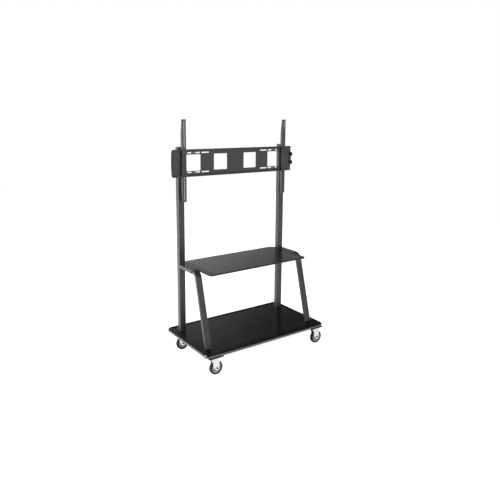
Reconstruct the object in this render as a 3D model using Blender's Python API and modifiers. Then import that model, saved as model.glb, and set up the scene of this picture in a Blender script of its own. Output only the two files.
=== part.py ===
"""Rolling display stand: two columns on a wheeled base, a shelf on bent legs,
a slotted wall rail and two sliding hook-on arms.

Metres, +Z up, +X to the right, the screen faces -Y.
The origin is on the floor, under the middle of the base.
"""
import math

import bmesh
import bpy
from mathutils import Matrix, Vector

# Fits shared by all pieces
CLEARANCE = 0.0003
OVERRUN = 0.005
WELD_SINK = 0.0005
MERGE_DISTANCE = 0.00001

# Casters: total height first, it sets the height of the base
CASTER_HEIGHT = 0.1457
CASTER_SIDE_INSET = 0.076
CASTER_FRONT_INSET = 0.040
CASTER_REAR_INSET = 0.094
CASTER_TRAIL = 0.022
CASTER_PLATE_LENGTH = 0.110
CASTER_PLATE_DEPTH = 0.080
CASTER_PLATE_THICKNESS = 0.003
CASTER_PLATE_CORNER = 0.008
CASTER_BOLT_SPACING_X = 0.080
CASTER_BOLT_SPACING_Y = 0.060
CASTER_BOLT_ACROSS_FLATS = 0.011
CASTER_BOLT_HEAD = 0.0035
RACE_RADIUS = 0.027
RACE_THICKNESS = 0.003
RACE_BORE_RADIUS = 0.010
KINGPIN_RADIUS = 0.006

WHEEL_RADIUS = 0.054
WHEEL_WIDTH = 0.028
TYRE_DEPTH = 0.0137
TYRE_SHOULDER = 0.006
HUB_WIDTH = 0.024
HUB_RIM_DEPTH = 0.005
HUB_WEB_THICKNESS = 0.010
HUB_BOSS_RADIUS = 0.011
HUB_BOSS_WIDTH = 0.031
HUB_HOLE_COUNT = 8
HUB_HOLE_RADIUS = 0.003
AXLE_RADIUS = 0.004
AXLE_CLEARANCE = 0.0003
AXLE_HEAD_ACROSS_FLATS = 0.013
AXLE_HEAD_THICKNESS = 0.005

FORK_WALL = 0.003
FORK_SIDE_GAP = 0.0025
FORK_CROWN_REAR = 0.026
FORK_CROWN_HEIGHT = 0.016
FORK_SHOULDER_HEIGHT = 0.034
FORK_TOP_CORNER = 0.004
FORK_LEG_REAR = 0.034
FORK_LEG_FRONT = 0.020
FORK_TAPER_RISE = 0.012
FORK_TIP_RADIUS = 0.018
FORK_CROWN_THICKNESS = 0.003

PEDAL_PIVOT_X = -0.018
PEDAL_PIVOT_DROP = 0.011
PEDAL_PIN_RADIUS = 0.0025
PEDAL_PIN_CLEARANCE = 0.0003
PEDAL_BARREL_RADIUS = 0.0045
PEDAL_FRONT_GAP = 0.003
PEDAL_RISE_RUN = 0.005
PEDAL_THICKNESS = 0.0035
PEDAL_SIDE_GAP = 0.0025
PEDAL_PAD_GAP = 0.001
PEDAL_PAD_LENGTH = 0.033
PEDAL_PAD_WIDTH = 0.050
PEDAL_PAD_CORNER = 0.006
BRAKE_SHOE_LENGTH = 0.014
BRAKE_SHOE_DROP = 0.009

# Base: a bullnose rim round a sheet deck on a welded ladder frame
BASE_WIDTH = 1.160
BASE_DEPTH = 0.664
BASE_CORNER_RADIUS = 0.040
RIM_HEIGHT = 0.033
RIM_BAND = 0.030
RIM_EDGE_RADIUS = 0.0150
RIM_INNER_CORNER = 0.006
GROOVE_WIDTH = 0.008
LEDGE_WIDTH = 0.012
LEDGE_THICKNESS = 0.004
DECK_DROP = 0.0025
DECK_THICKNESS = 0.003
FRAME_WALL = 0.003
FRAME_LIFT = 0.002
FRAME_SIDE_WIDTH = 0.055
FRAME_CROSS_WIDTH = 0.040
MOUNT_PLATE_THICKNESS = 0.003
MOUNT_PLATE_MARGIN = 0.002
MOUNT_PLATE_INNER_REACH = 0.045

# Columns
COLUMN_SIDE_INSET = 0.080
COLUMN_WIDTH = 0.0512
COLUMN_DEPTH = 0.044
COLUMN_FRONT_Y = 0.183
COLUMN_TOP = 1.679
COLUMN_WALL = 0.002
COLUMN_CORNER = 0.003
CAP_THICKNESS = 0.003
CAP_PLUG_DEPTH = 0.015
CAP_PLUG_WALL = 0.0015
END_PLATE_THICKNESS = 0.004
END_PLATE_RISE = 0.001
FOOT_BOLT_RADIUS = 0.004
FOOT_BOLT_HOLE_CLEARANCE = 0.0003
FOOT_BOLT_HEAD_ACROSS_FLATS = 0.013
FOOT_BOLT_HEAD_THICKNESS = 0.005
FOOT_BOLT_PROTRUSION = 0.006

# Legs and shelf
SHELF_TOP = 0.747
LEG_THICKNESS = 0.025
LEG_SLOPE = 0.269
LEG_FOOT_FRONT_Y = -0.223
LEG_BEND_RADIUS = 0.060
LEG_WALL = 0.002
LEG_CORNER = 0.003
SOCKET_LENGTH = 0.200
SOCKET_WALL = 0.002
SOCKET_BOLT_SETBACK = 0.040
SOCKET_BOLT_RADIUS = 0.003
SOCKET_BOLT_HEAD_RADIUS = 0.006
SOCKET_BOLT_HEAD_THICKNESS = 0.003
SOCKET_BOLT_REACH = 0.012
SHELF_SHEET = 0.002
SHELF_SKIRT = 0.0125
SHELF_SIDE_GAP = 0.0007
SHELF_FRONT_Y = -0.202
SHELF_REAR_OVERHANG = 0.075
SHELF_FRONT_CORNER = 0.024
SHELF_REAR_CORNER = 0.095
SHELF_CREASE_INSET = 0.0294
SHELF_CREASE_WIDTH = 0.0055
SHELF_CREASE_DEPTH = 0.0012
SHELF_NOTCH_MARGIN = 0.001
SHELF_RAIL_SIZE = 0.022
SHELF_RAIL_WALL = 0.002
SHELF_RAIL_FRONT_SETBACK = 0.020
SHELF_RAIL_REAR_SETBACK = 0.115

# Wall rail: a lipped channel with four windows and two rows of slots
RAIL_OVERHANG = 0.0890
RAIL_TOP_DROP = 0.017
RAIL_HEIGHT = 0.214
RAIL_SHEET = 0.0025
RAIL_FLANGE = 0.018
RAIL_FLANGE_SETBACK = 0.008
RAIL_CORNER_RISE = 0.018
RAIL_LIP = 0.0085
RAIL_PAD_THICKNESS = 0.0084
RAIL_PAD_MARGIN = 0.008
WINDOW_WIDTH_SHARE = 0.250
WINDOW_RISE = 0.044
WINDOW_DROP = 0.042
WINDOW_INNER_SHARE = 0.290
WINDOW_OUTER_SHARE = 0.790
SLOT_HEIGHT = 0.0095
SLOT_LOWER_RISE = 0.0335
SLOT_UPPER_DROP = 0.028
LONG_SLOT_SHARE = 0.577
LONG_SLOT_LENGTH_SHARE = 0.142
MIDDLE_SLOT_SHARE = 0.714
MIDDLE_SLOT_LENGTH_SHARE = 0.080
OUTER_SLOT_SHARE = 0.864
OUTER_SLOT_LENGTH_SHARE = 0.076
PILOT_HOLE_SHARE = 0.786
PILOT_HOLE_RADIUS = 0.0035
RAIL_BOLT_HALF_SPACING = 0.0155
RAIL_BOLT_RADIUS = 0.003
RAIL_BOLT_HOLE_CLEARANCE = 0.0003
RAIL_BOLT_HEAD_RADIUS = 0.006
RAIL_BOLT_HEAD_THICKNESS = 0.0035
RAIL_BOLT_REACH = 0.010

STOP_PROUD = 0.004
STOP_FINGER_THICKNESS = 0.012
STOP_FINGER_HEIGHT = 0.032
STOP_FINGER_REACH = 0.020
STOP_FINGER_SPACING = 0.0725
STOP_STRIP_THICKNESS = 0.003
STOP_CENTRE_RISE = 0.1075

# Display arms: slotted channels that hook over the rail
ARM_INSET = 0.010
ARM_WIDTH = 0.035
ARM_SHEET = 0.002
ARM_DROP = 0.195
ARM_RISE = 0.230
ARM_FRONT_GAP = 0.0055
ARM_DEPTH = 0.025
ARM_TIP_DEPTH = 0.010
ARM_TAPER_LENGTH = 0.110
ARM_LIP_GAP = 0.0005
ARM_HOOK_HEIGHT = 0.012
ARM_HOOK_TONGUE = 0.014
ARM_HOOK_TONGUE_THICKNESS = 0.004
ARM_SLOT_WIDTH = 0.0055
ARM_SLOT_LENGTH = 0.010
ARM_SLOT_PITCH = 0.015
ARM_SLOT_END_MARGIN = 0.012
LOCK_BRIDGE_DROP = 0.020
LOCK_BRIDGE_THICKNESS = 0.004
LOCK_SCREW_RADIUS = 0.003
LOCK_KNOB_RADIUS = 0.007
LOCK_KNOB_HEIGHT = 0.010
LOCK_SCREW_DROP = 0.034
LOCK_HOLE_CLEARANCE = 0.0003

# Shares of a larger size: a pan head's top and edge, a slot's end radius,
# and how far the pedal's lever reaches above and behind its pin
PAN_HEAD_TOP_SHARE = 0.7
PAN_HEAD_EDGE_SHARE = 0.5
SLOT_END_SHARE = 0.499
PEDAL_TOP_SHARE = 0.4
PEDAL_HEEL_SHARE = 0.25

# Fineness of round shapes
WHEEL_STEPS = 32
HUB_STEPS = 20
RACE_STEPS = 16
TYRE_SHOULDER_STEPS = 2
PIN_STEPS = 12
CORNER_SEGMENTS = 3
LARGE_CORNER_SEGMENTS = 6
BEND_SEGMENTS = 8
SLOT_END_SEGMENTS = 2
ARM_SLOT_END_SEGMENTS = 1
SMALL_HOLE_STEPS = 8
HEXAGON_SIDES = 6
RIM_EDGE_SEGMENTS = 5
TUBE_CORNER_SEGMENTS = 2
EDGE_ANGLE = math.radians(60)
SHARP_ANGLE = math.radians(35)

# Places that several pieces share
CASTER_X = BASE_WIDTH / 2 - CASTER_SIDE_INSET
CASTER_FRONT_Y = CASTER_FRONT_INSET - BASE_DEPTH / 2
CASTER_REAR_Y = BASE_DEPTH / 2 - CASTER_REAR_INSET
RIM_BOTTOM = CASTER_HEIGHT + CLEARANCE
RIM_TOP = RIM_BOTTOM + RIM_HEIGHT
DECK_TOP = RIM_TOP - DECK_DROP
LEDGE_TOP = DECK_TOP - DECK_THICKNESS - CLEARANCE
LEDGE_INSET = RIM_BAND + GROOVE_WIDTH + LEDGE_WIDTH
FRAME_HALF_WIDTH = BASE_WIDTH / 2 - LEDGE_INSET - CLEARANCE
FRAME_HALF_DEPTH = BASE_DEPTH / 2 - LEDGE_INSET - CLEARANCE
FRAME_BOTTOM = RIM_BOTTOM + FRAME_LIFT
COLUMN_X = BASE_WIDTH / 2 - COLUMN_SIDE_INSET
COLUMN_CENTRE_Y = COLUMN_FRONT_Y + COLUMN_DEPTH / 2
COLUMN_BOTTOM = DECK_TOP + CLEARANCE
LEG_ANGLE = math.atan(LEG_SLOPE)
LEG_FOOT_DEPTH = LEG_THICKNESS / math.cos(LEG_ANGLE)
LEG_FOOT_CENTRE_Y = LEG_FOOT_FRONT_Y + LEG_FOOT_DEPTH / 2
LEG_END_Y = COLUMN_FRONT_Y - SOCKET_WALL - 2 * CLEARANCE
LEG_TOP = SHELF_TOP - SOCKET_WALL - CLEARANCE
LEG_KNEE_Y = LEG_FOOT_FRONT_Y + LEG_SLOPE * (LEG_TOP - DECK_TOP)
LEG_RUN_START_Y = LEG_KNEE_Y + LEG_BEND_RADIUS * math.tan(math.radians(45) - LEG_ANGLE / 2)
LEG_RUN_BOTTOM = LEG_TOP - LEG_THICKNESS
SOCKET_BOLT_Z = LEG_TOP - LEG_THICKNESS / 2
SOCKET_INNER_X = COLUMN_X - COLUMN_WIDTH / 2 - CLEARANCE - SOCKET_WALL
RAIL_REAR_Y = COLUMN_FRONT_Y - 2 * CLEARANCE - RAIL_PAD_THICKNESS
RAIL_WEB_Y = RAIL_REAR_Y - RAIL_SHEET
RAIL_LIP_Y = RAIL_WEB_Y - RAIL_FLANGE
RAIL_LENGTH = 2 * (COLUMN_X + RAIL_OVERHANG)
RAIL_TOP = COLUMN_TOP - RAIL_TOP_DROP
RAIL_BOTTOM = RAIL_TOP - RAIL_HEIGHT
SLOT_LOWER_Z = RAIL_BOTTOM + SLOT_LOWER_RISE
SLOT_UPPER_Z = RAIL_TOP - SLOT_UPPER_DROP
WINDOW_HEIGHT = RAIL_HEIGHT - WINDOW_RISE - WINDOW_DROP
ARM_X = COLUMN_X - ARM_INSET
ARM_TOP = RAIL_TOP + ARM_RISE
ARM_BOTTOM = RAIL_BOTTOM - ARM_DROP
ARM_FRONT_Y = RAIL_LIP_Y - ARM_FRONT_GAP - ARM_SHEET
AXLE_BORE_RADIUS = AXLE_RADIUS + AXLE_CLEARANCE
PLATE_BOTTOM = CASTER_HEIGHT - CASTER_PLATE_THICKNESS
CASTER_HEAD_BOTTOM = PLATE_BOTTOM - CASTER_BOLT_HEAD
CROWN_TOP = PLATE_BOTTOM - 2 * RACE_THICKNESS - CLEARANCE
CROWN_BOTTOM = CROWN_TOP - FORK_CROWN_THICKNESS
FORK_INNER_WIDTH = WHEEL_WIDTH + 2 * FORK_SIDE_GAP
FORK_WIDTH = FORK_INNER_WIDTH + 2 * FORK_WALL
FORK_FRONT_X = CASTER_TRAIL + FORK_LEG_FRONT
PEDAL_PIVOT_Z = CROWN_TOP - PEDAL_PIVOT_DROP

# Directions in which flat outlines are drawn
SEEN_FROM_TOP = Matrix.Identity(4)
SEEN_FROM_FRONT = Matrix.Rotation(math.radians(90), 4, "X")
SEEN_FROM_SIDE = Matrix(((0, 0, 1, 0), (1, 0, 0, 0), (0, 1, 0, 0), (0, 0, 0, 1)))

SIDES = (("left", -1), ("right", 1))
MATERIALS = {}


def new_material(name, colour, roughness, metallic):
    """A named material with one Principled surface."""
    material = bpy.data.materials.new(name)
    material.use_nodes = True
    surface = material.node_tree.nodes["Principled BSDF"]
    surface.inputs["Base Color"].default_value = (*colour, 1)
    surface.inputs["Roughness"].default_value = roughness
    surface.inputs["Metallic"].default_value = metallic
    material.diffuse_color = (*colour, 1)
    MATERIALS[name] = material


def make_materials():
    """The finishes: powder coat, moulded plastic, rubber and zinc plate."""
    new_material("powder_coat", (0.030, 0.030, 0.032), 0.35, 0.0)
    new_material("deck_coat", (0.020, 0.020, 0.022), 0.30, 0.0)
    new_material("edge_plastic", (0.028, 0.028, 0.030), 0.35, 0.0)
    new_material("black_plastic", (0.012, 0.012, 0.012), 0.50, 0.0)
    new_material("tyre_rubber", (0.015, 0.015, 0.015), 0.75, 0.0)
    new_material("hub_plastic", (0.45, 0.46, 0.47), 0.45, 0.0)
    new_material("zinc_plate", (0.75, 0.76, 0.78), 0.28, 1.0)
    new_material("dark_bolt", (0.030, 0.030, 0.030), 0.35, 1.0)


def clear_scene():
    """Start from an empty scene."""
    for old in list(bpy.data.objects):
        bpy.data.objects.remove(old, do_unlink=True)


def make_collection(name):
    """A collection of its own for the finished pieces."""
    collection = bpy.data.collections.new(name)
    bpy.context.scene.collection.children.link(collection)
    return collection


def add_object(name, data, place=None):
    """Put new data into the scene as an object."""
    piece = bpy.data.objects.new(name, data)
    PARTS.objects.link(piece)
    piece.matrix_world = place if place is not None else Matrix.Identity(4)
    return piece


def add_empty(name, location, parent=None):
    """An empty that marks a joint's axis."""
    empty = bpy.data.objects.new(name, None)
    PARTS.objects.link(empty)
    empty.location = location
    empty.parent = parent
    return empty


def bake(piece):
    """Replace a piece's modifiers by the mesh that they make."""
    bpy.context.view_layer.update()
    evaluated = piece.evaluated_get(bpy.context.evaluated_depsgraph_get())
    old_mesh = piece.data
    piece.data = bpy.data.meshes.new_from_object(evaluated)
    piece.modifiers.clear()
    bpy.data.meshes.remove(old_mesh)


def combine(piece, tool, operation):
    """Cut a tool from a piece, or weld it on, and remove the tool."""
    modifier = piece.modifiers.new(operation, "BOOLEAN")
    modifier.operation = operation
    modifier.solver = "EXACT"
    modifier.object = tool
    bake(piece)
    bpy.data.objects.remove(tool, do_unlink=True)


def cut(piece, *tools):
    """Cut each tool's shape out of a piece."""
    for tool in tools:
        combine(piece, tool, "DIFFERENCE")


def weld(piece, *tools):
    """Make each tool's shape one body with a piece."""
    for tool in tools:
        combine(piece, tool, "UNION")


def finish(piece, material):
    """Give a piece its finish, with soft shading on its round faces."""
    piece.data.name = piece.name
    piece.data.materials.clear()
    piece.data.materials.append(MATERIALS[material])
    piece.data.shade_smooth()
    piece.data.set_sharp_from_angle(angle=SHARP_ANGLE)
    return piece


def copy_of(piece, name, location, parent=None):
    """A second object with the same mesh."""
    twin = bpy.data.objects.new(name, piece.data)
    PARTS.objects.link(twin)
    twin.rotation_euler = piece.rotation_euler
    twin.location = location
    twin.parent = parent
    return twin


def block(name, low, high):
    """A box between two corners."""
    low = Vector(low)
    high = Vector(high)
    shape = bmesh.new()
    bmesh.ops.create_cube(shape, size=1)
    size = high - low
    bmesh.ops.scale(shape, vec=size, verts=shape.verts)
    mesh = bpy.data.meshes.new(name)
    shape.to_mesh(mesh)
    shape.free()
    return add_object(name, mesh, Matrix.Translation((low + high) / 2))


def rounded(corners, segments=CORNER_SEGMENTS):
    """An outline whose corners, given as (u, v, radius), are rounded by arcs."""
    outline = []
    count = len(corners)
    for index, (u, v, radius) in enumerate(corners):
        corner = Vector((u, v))
        if radius == 0:
            outline.append(corner)
            continue
        before = Vector(corners[index - 1][:2]) - corner
        after = Vector(corners[(index + 1) % count][:2]) - corner
        before.normalize()
        after.normalize()
        half_angle = before.angle(after) / 2
        centre = corner + (before + after).normalized() * (radius / math.sin(half_angle))
        start = corner + before * (radius / math.tan(half_angle)) - centre
        sweep = math.pi - 2 * half_angle
        turn = 1 if before.cross(after) < 0 else -1
        for step in range(segments + 1):
            angle = turn * sweep * step / segments
            outline.append(centre + Matrix.Rotation(angle, 2) @ start)
    return outline


def rectangle(low, high, radius=0, segments=CORNER_SEGMENTS):
    """A rectangle between two corners, rounded if it has a radius."""
    corners = [(low[0], low[1], radius), (high[0], low[1], radius),
               (high[0], high[1], radius), (low[0], high[1], radius)]
    return rounded(corners, segments)


def centred_rectangle(centre, width, height, radius=0, segments=CORNER_SEGMENTS):
    """A rectangle round its middle."""
    u, v = centre
    low = (u - width / 2, v - height / 2)
    high = (u + width / 2, v + height / 2)
    return rectangle(low, high, radius, segments)


def slot(centre, width, height, segments=SLOT_END_SEGMENTS):
    """A slot with round ends, along its longer side."""
    return centred_rectangle(centre, width, height, min(width, height) * SLOT_END_SHARE, segments)


def circle(centre, radius, steps=PIN_STEPS):
    """A circle as an even polygon, with a point at its lowest place."""
    u, v = centre
    outline = []
    for step in range(steps):
        angle = math.tau * step / steps - math.pi / 2
        outline.append(Vector((u + radius * math.cos(angle), v + radius * math.sin(angle))))
    return outline


def hexagon(centre, across_flats):
    """A hexagon, as on a bolt head."""
    return circle(centre, across_flats / math.sqrt(3), HEXAGON_SIDES)


def plate(name, outlines, middle, thickness, view=SEEN_FROM_TOP):
    """A flat piece: outlines filled, holes left open, and extruded both ways from its middle."""
    curve = bpy.data.curves.new(name, "CURVE")
    curve.dimensions = "2D"
    curve.fill_mode = "BOTH"
    curve.extrude = thickness / 2
    for outline in outlines:
        spline = curve.splines.new("POLY")
        spline.points.add(len(outline) - 1)
        for point, place in zip(spline.points, outline):
            point.co = (place[0], place[1], 0, 1)
        spline.use_cyclic_u = True
    holder = add_object(name, curve)
    bpy.context.view_layer.update()
    evaluated = holder.evaluated_get(bpy.context.evaluated_depsgraph_get())
    mesh = bpy.data.meshes.new_from_object(evaluated)
    shape = bmesh.new()
    shape.from_mesh(mesh)
    bmesh.ops.remove_doubles(shape, verts=shape.verts, dist=MERGE_DISTANCE)
    bmesh.ops.recalc_face_normals(shape, faces=shape.faces)
    shape.to_mesh(mesh)
    shape.free()
    bpy.data.objects.remove(holder, do_unlink=True)
    return add_object(name, mesh, Matrix.Translation(middle) @ view)


def top_plate(name, outlines, bottom, top):
    """A plate drawn from above, between two heights."""
    return plate(name, outlines, (0, 0, (bottom + top) / 2), top - bottom)


def front_plate(name, outlines, front, back):
    """A plate drawn from the front as (x, z), between two depths."""
    return plate(name, outlines, (0, (front + back) / 2, 0), back - front, SEEN_FROM_FRONT)


def side_plate(name, outlines, left, right):
    """A plate drawn from the side as (y, z), between two widths."""
    return plate(name, outlines, ((left + right) / 2, 0, 0), right - left, SEEN_FROM_SIDE)


def turned(name, profile, steps, place, ring=False):
    """A turned piece: the profile (radius, height) runs down its outer side."""
    mesh = bpy.data.meshes.new(name)
    points = [(radius, 0, height) for radius, height in profile]
    edges = [(index, index + 1) for index in range(len(points) - 1)]
    if ring:
        edges.append((len(points) - 1, 0))
    mesh.from_pydata(points, edges, [])
    piece = add_object(name, mesh, place)
    screw = piece.modifiers.new("Turn", "SCREW")
    screw.steps = steps
    screw.render_steps = steps
    screw.use_merge_vertices = True
    screw.merge_threshold = MERGE_DISTANCE
    bake(piece)
    return piece


def pan_head_bolt(seat, head_radius, head_thickness, radius, reach):
    """A pan-head bolt's profile: its head stands on the seat and its shank goes down."""
    head_top = seat + head_thickness
    return [(0, head_top), (head_radius * PAN_HEAD_TOP_SHARE, head_top),
            (head_radius, seat + head_thickness * PAN_HEAD_EDGE_SHARE), (head_radius, seat),
            (radius, seat), (radius, seat - reach), (0, seat - reach)]


def soften_edges(piece, name, width, segments):
    """Round a piece's sharp edges."""
    soften = piece.modifiers.new(name, "BEVEL")
    soften.width = width
    soften.segments = segments
    soften.limit_method = "ANGLE"
    soften.angle_limit = EDGE_ANGLE
    bake(piece)


def upright(location):
    """A turned piece's place when its axis stays vertical."""
    return Matrix.Translation(location)


def across(location):
    """A turned piece's place when its axis runs front to back."""
    return Matrix.Translation(location) @ SEEN_FROM_FRONT


def sideways(location, side):
    """A turned piece's place when its axis points out to one side."""
    return Matrix.Translation(location) @ Matrix.Rotation(math.radians(90) * side, 4, "Y")


def foot_bolt_places():
    """Where columns and legs are bolted down: name and place in plan."""
    places = []
    for side, sign in SIDES:
        places.append((f"foot_bolt_column_{side}", (sign * COLUMN_X, COLUMN_CENTRE_Y)))
        places.append((f"foot_bolt_leg_{side}", (sign * COLUMN_X, LEG_FOOT_CENTRE_Y)))
    return places


def foot_bolt_holes():
    """The holes for the foot bolts, drawn from above."""
    radius = FOOT_BOLT_RADIUS + FOOT_BOLT_HOLE_CLEARANCE
    return [circle(place, radius) for name, place in foot_bolt_places()]


def make_base_rim():
    """The bullnose frame round the deck, with a ledge under the deck's edge."""
    outer = centred_rectangle((0, 0), BASE_WIDTH, BASE_DEPTH, BASE_CORNER_RADIUS, LARGE_CORNER_SEGMENTS)
    rim = top_plate("base_rim", [outer], RIM_BOTTOM, RIM_TOP)
    soften_edges(rim, "Bullnose", RIM_EDGE_RADIUS, RIM_EDGE_SEGMENTS)
    well = centred_rectangle((0, 0), BASE_WIDTH - 2 * RIM_BAND, BASE_DEPTH - 2 * RIM_BAND,
                             RIM_INNER_CORNER, CORNER_SEGMENTS)
    cut(rim, top_plate("well", [well], LEDGE_TOP, RIM_TOP + OVERRUN))
    cut(rim, top_plate("underside", [well], RIM_BOTTOM - OVERRUN, LEDGE_TOP - LEDGE_THICKNESS))
    opening = centred_rectangle((0, 0), BASE_WIDTH - 2 * LEDGE_INSET, BASE_DEPTH - 2 * LEDGE_INSET)
    cut(rim, top_plate("opening", [opening], RIM_BOTTOM - OVERRUN, RIM_TOP + OVERRUN))
    finish(rim, "edge_plastic")


def make_deck_panel():
    """The sheet deck that lies on the rim's ledge and the frame."""
    inset = RIM_BAND + GROOVE_WIDTH
    outline = centred_rectangle((0, 0), BASE_WIDTH - 2 * inset, BASE_DEPTH - 2 * inset, RIM_INNER_CORNER)
    deck = top_plate("deck_panel", [outline, *foot_bolt_holes()], DECK_TOP - DECK_THICKNESS, DECK_TOP)
    finish(deck, "deck_coat")


def ladder(inset):
    """The frame's plan, with its walls drawn in by an inset."""
    outer = centred_rectangle((0, 0), 2 * (FRAME_HALF_WIDTH - inset), 2 * (FRAME_HALF_DEPTH - inset))
    bay_x = FRAME_HALF_WIDTH - FRAME_SIDE_WIDTH + inset
    near_y = FRAME_CROSS_WIDTH / 2 - inset
    far_y = FRAME_HALF_DEPTH - FRAME_CROSS_WIDTH + inset
    bays = [rectangle((-bay_x, near_y), (bay_x, far_y)), rectangle((-bay_x, -far_y), (bay_x, -near_y))]
    return [outer, *bays]


def make_base_frame():
    """The welded ladder frame: channels open below, with four caster mounting plates."""
    frame_top = DECK_TOP - DECK_THICKNESS - CLEARANCE
    frame = top_plate("base_frame", ladder(0), FRAME_BOTTOM, frame_top)
    hollow = top_plate("hollow", ladder(FRAME_WALL), FRAME_BOTTOM - OVERRUN, frame_top - FRAME_WALL)
    cut(frame, hollow)
    inner_x = CASTER_X - CASTER_PLATE_LENGTH / 2 - MOUNT_PLATE_MARGIN
    outer_x = BASE_WIDTH / 2 - RIM_BAND - MOUNT_PLATE_MARGIN
    outer_y = BASE_DEPTH / 2 - RIM_BAND - MOUNT_PLATE_MARGIN
    inner_y = outer_y - MOUNT_PLATE_INNER_REACH
    for side, sign in SIDES:
        for end in (-1, 1):
            x_ends = sorted((sign * inner_x, sign * outer_x))
            y_ends = sorted((end * inner_y, end * outer_y))
            low = (x_ends[0], y_ends[0], RIM_BOTTOM)
            high = (x_ends[1], y_ends[1], RIM_BOTTOM + MOUNT_PLATE_THICKNESS)
            weld(frame, block("mount_plate", low, high))
    cut(frame, top_plate("holes", foot_bolt_holes(), frame_top - FRAME_WALL - WELD_SINK, frame_top + OVERRUN))
    finish(frame, "powder_coat")


def make_foot_bolts():
    """One bolt under each column and leg, up through the frame and the deck."""
    head_top = DECK_TOP - DECK_THICKNESS - CLEARANCE - FRAME_WALL - CLEARANCE
    shank_top = COLUMN_BOTTOM + FOOT_BOLT_PROTRUSION
    for name, place in foot_bolt_places():
        head = top_plate(name, [hexagon((0, 0), FOOT_BOLT_HEAD_ACROSS_FLATS)],
                         head_top - FOOT_BOLT_HEAD_THICKNESS, head_top)
        shank = top_plate("shank", [circle((0, 0), FOOT_BOLT_RADIUS)],
                          head_top - FOOT_BOLT_HEAD_THICKNESS / 2, shank_top)
        weld(head, shank)
        head.location.x, head.location.y = place
        finish(head, "zinc_plate")


def make_columns():
    """Two rectangular tubes, each with a drilled end plate at its foot."""
    tube_top = COLUMN_TOP - CAP_THICKNESS - CLEARANCE
    outer = centred_rectangle((0, 0), COLUMN_WIDTH, COLUMN_DEPTH, COLUMN_CORNER)
    inner = centred_rectangle((0, 0), COLUMN_WIDTH - 2 * COLUMN_WALL, COLUMN_DEPTH - 2 * COLUMN_WALL,
                              COLUMN_CORNER - COLUMN_WALL)
    column = top_plate("column_left", [outer, inner], COLUMN_BOTTOM, tube_top)
    hole = circle((0, 0), FOOT_BOLT_RADIUS + FOOT_BOLT_HOLE_CLEARANCE)
    foot = centred_rectangle((0, 0), COLUMN_WIDTH - COLUMN_WALL, COLUMN_DEPTH - COLUMN_WALL,
                             COLUMN_CORNER - COLUMN_WALL / 2)
    foot_bottom = COLUMN_BOTTOM + END_PLATE_RISE
    weld(column, top_plate("end_plate", [foot, hole], foot_bottom, foot_bottom + END_PLATE_THICKNESS))
    cut(column, front_plate("bolt_holes", rail_bolt_holes(0), -COLUMN_DEPTH, 0))
    finish(column, "powder_coat")
    column.location.x = -COLUMN_X
    column.location.y = COLUMN_CENTRE_Y
    copy_of(column, "column_right", (COLUMN_X, COLUMN_CENTRE_Y, column.location.z))


def make_column_caps():
    """Plastic caps that plug the columns' open tops."""
    cap_bottom = COLUMN_TOP - CAP_THICKNESS
    lid = centred_rectangle((0, 0), COLUMN_WIDTH, COLUMN_DEPTH, COLUMN_CORNER)
    plug_width = COLUMN_WIDTH - 2 * COLUMN_WALL - 2 * CLEARANCE
    plug_depth = COLUMN_DEPTH - 2 * COLUMN_WALL - 2 * CLEARANCE
    plug = [centred_rectangle((0, 0), plug_width, plug_depth, COLUMN_CORNER - COLUMN_WALL),
            centred_rectangle((0, 0), plug_width - 2 * CAP_PLUG_WALL, plug_depth - 2 * CAP_PLUG_WALL)]
    cap = top_plate("column_cap_left", [lid], cap_bottom, COLUMN_TOP)
    weld(cap, top_plate("plug", plug, cap_bottom - CAP_PLUG_DEPTH, cap_bottom + WELD_SINK))
    finish(cap, "black_plastic")
    cap.location.x = -COLUMN_X
    cap.location.y = COLUMN_CENTRE_Y
    copy_of(cap, "column_cap_right", (COLUMN_X, COLUMN_CENTRE_Y, cap.location.z))


def leg_outline(inset, overrun):
    """A leg seen from the side, its faces drawn in by an inset, past both its ends."""
    shift = inset / math.cos(LEG_ANGLE)
    run_top = LEG_TOP - inset
    run_bottom = LEG_RUN_BOTTOM + inset
    end_y = LEG_END_Y + overrun
    foot_z = DECK_TOP - overrun

    def face_y(z, offset):
        return LEG_FOOT_FRONT_Y + offset + LEG_SLOPE * (z - DECK_TOP)

    rear_offset = LEG_FOOT_DEPTH - shift
    return rounded([
        (face_y(foot_z, shift), foot_z, 0),
        (face_y(foot_z, rear_offset), foot_z, 0),
        (face_y(run_bottom, rear_offset), run_bottom, LEG_BEND_RADIUS - LEG_THICKNESS + inset),
        (end_y, run_bottom, 0),
        (end_y, run_top, 0),
        (face_y(run_top, shift), run_top, LEG_BEND_RADIUS - inset),
    ], BEND_SEGMENTS)


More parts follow.
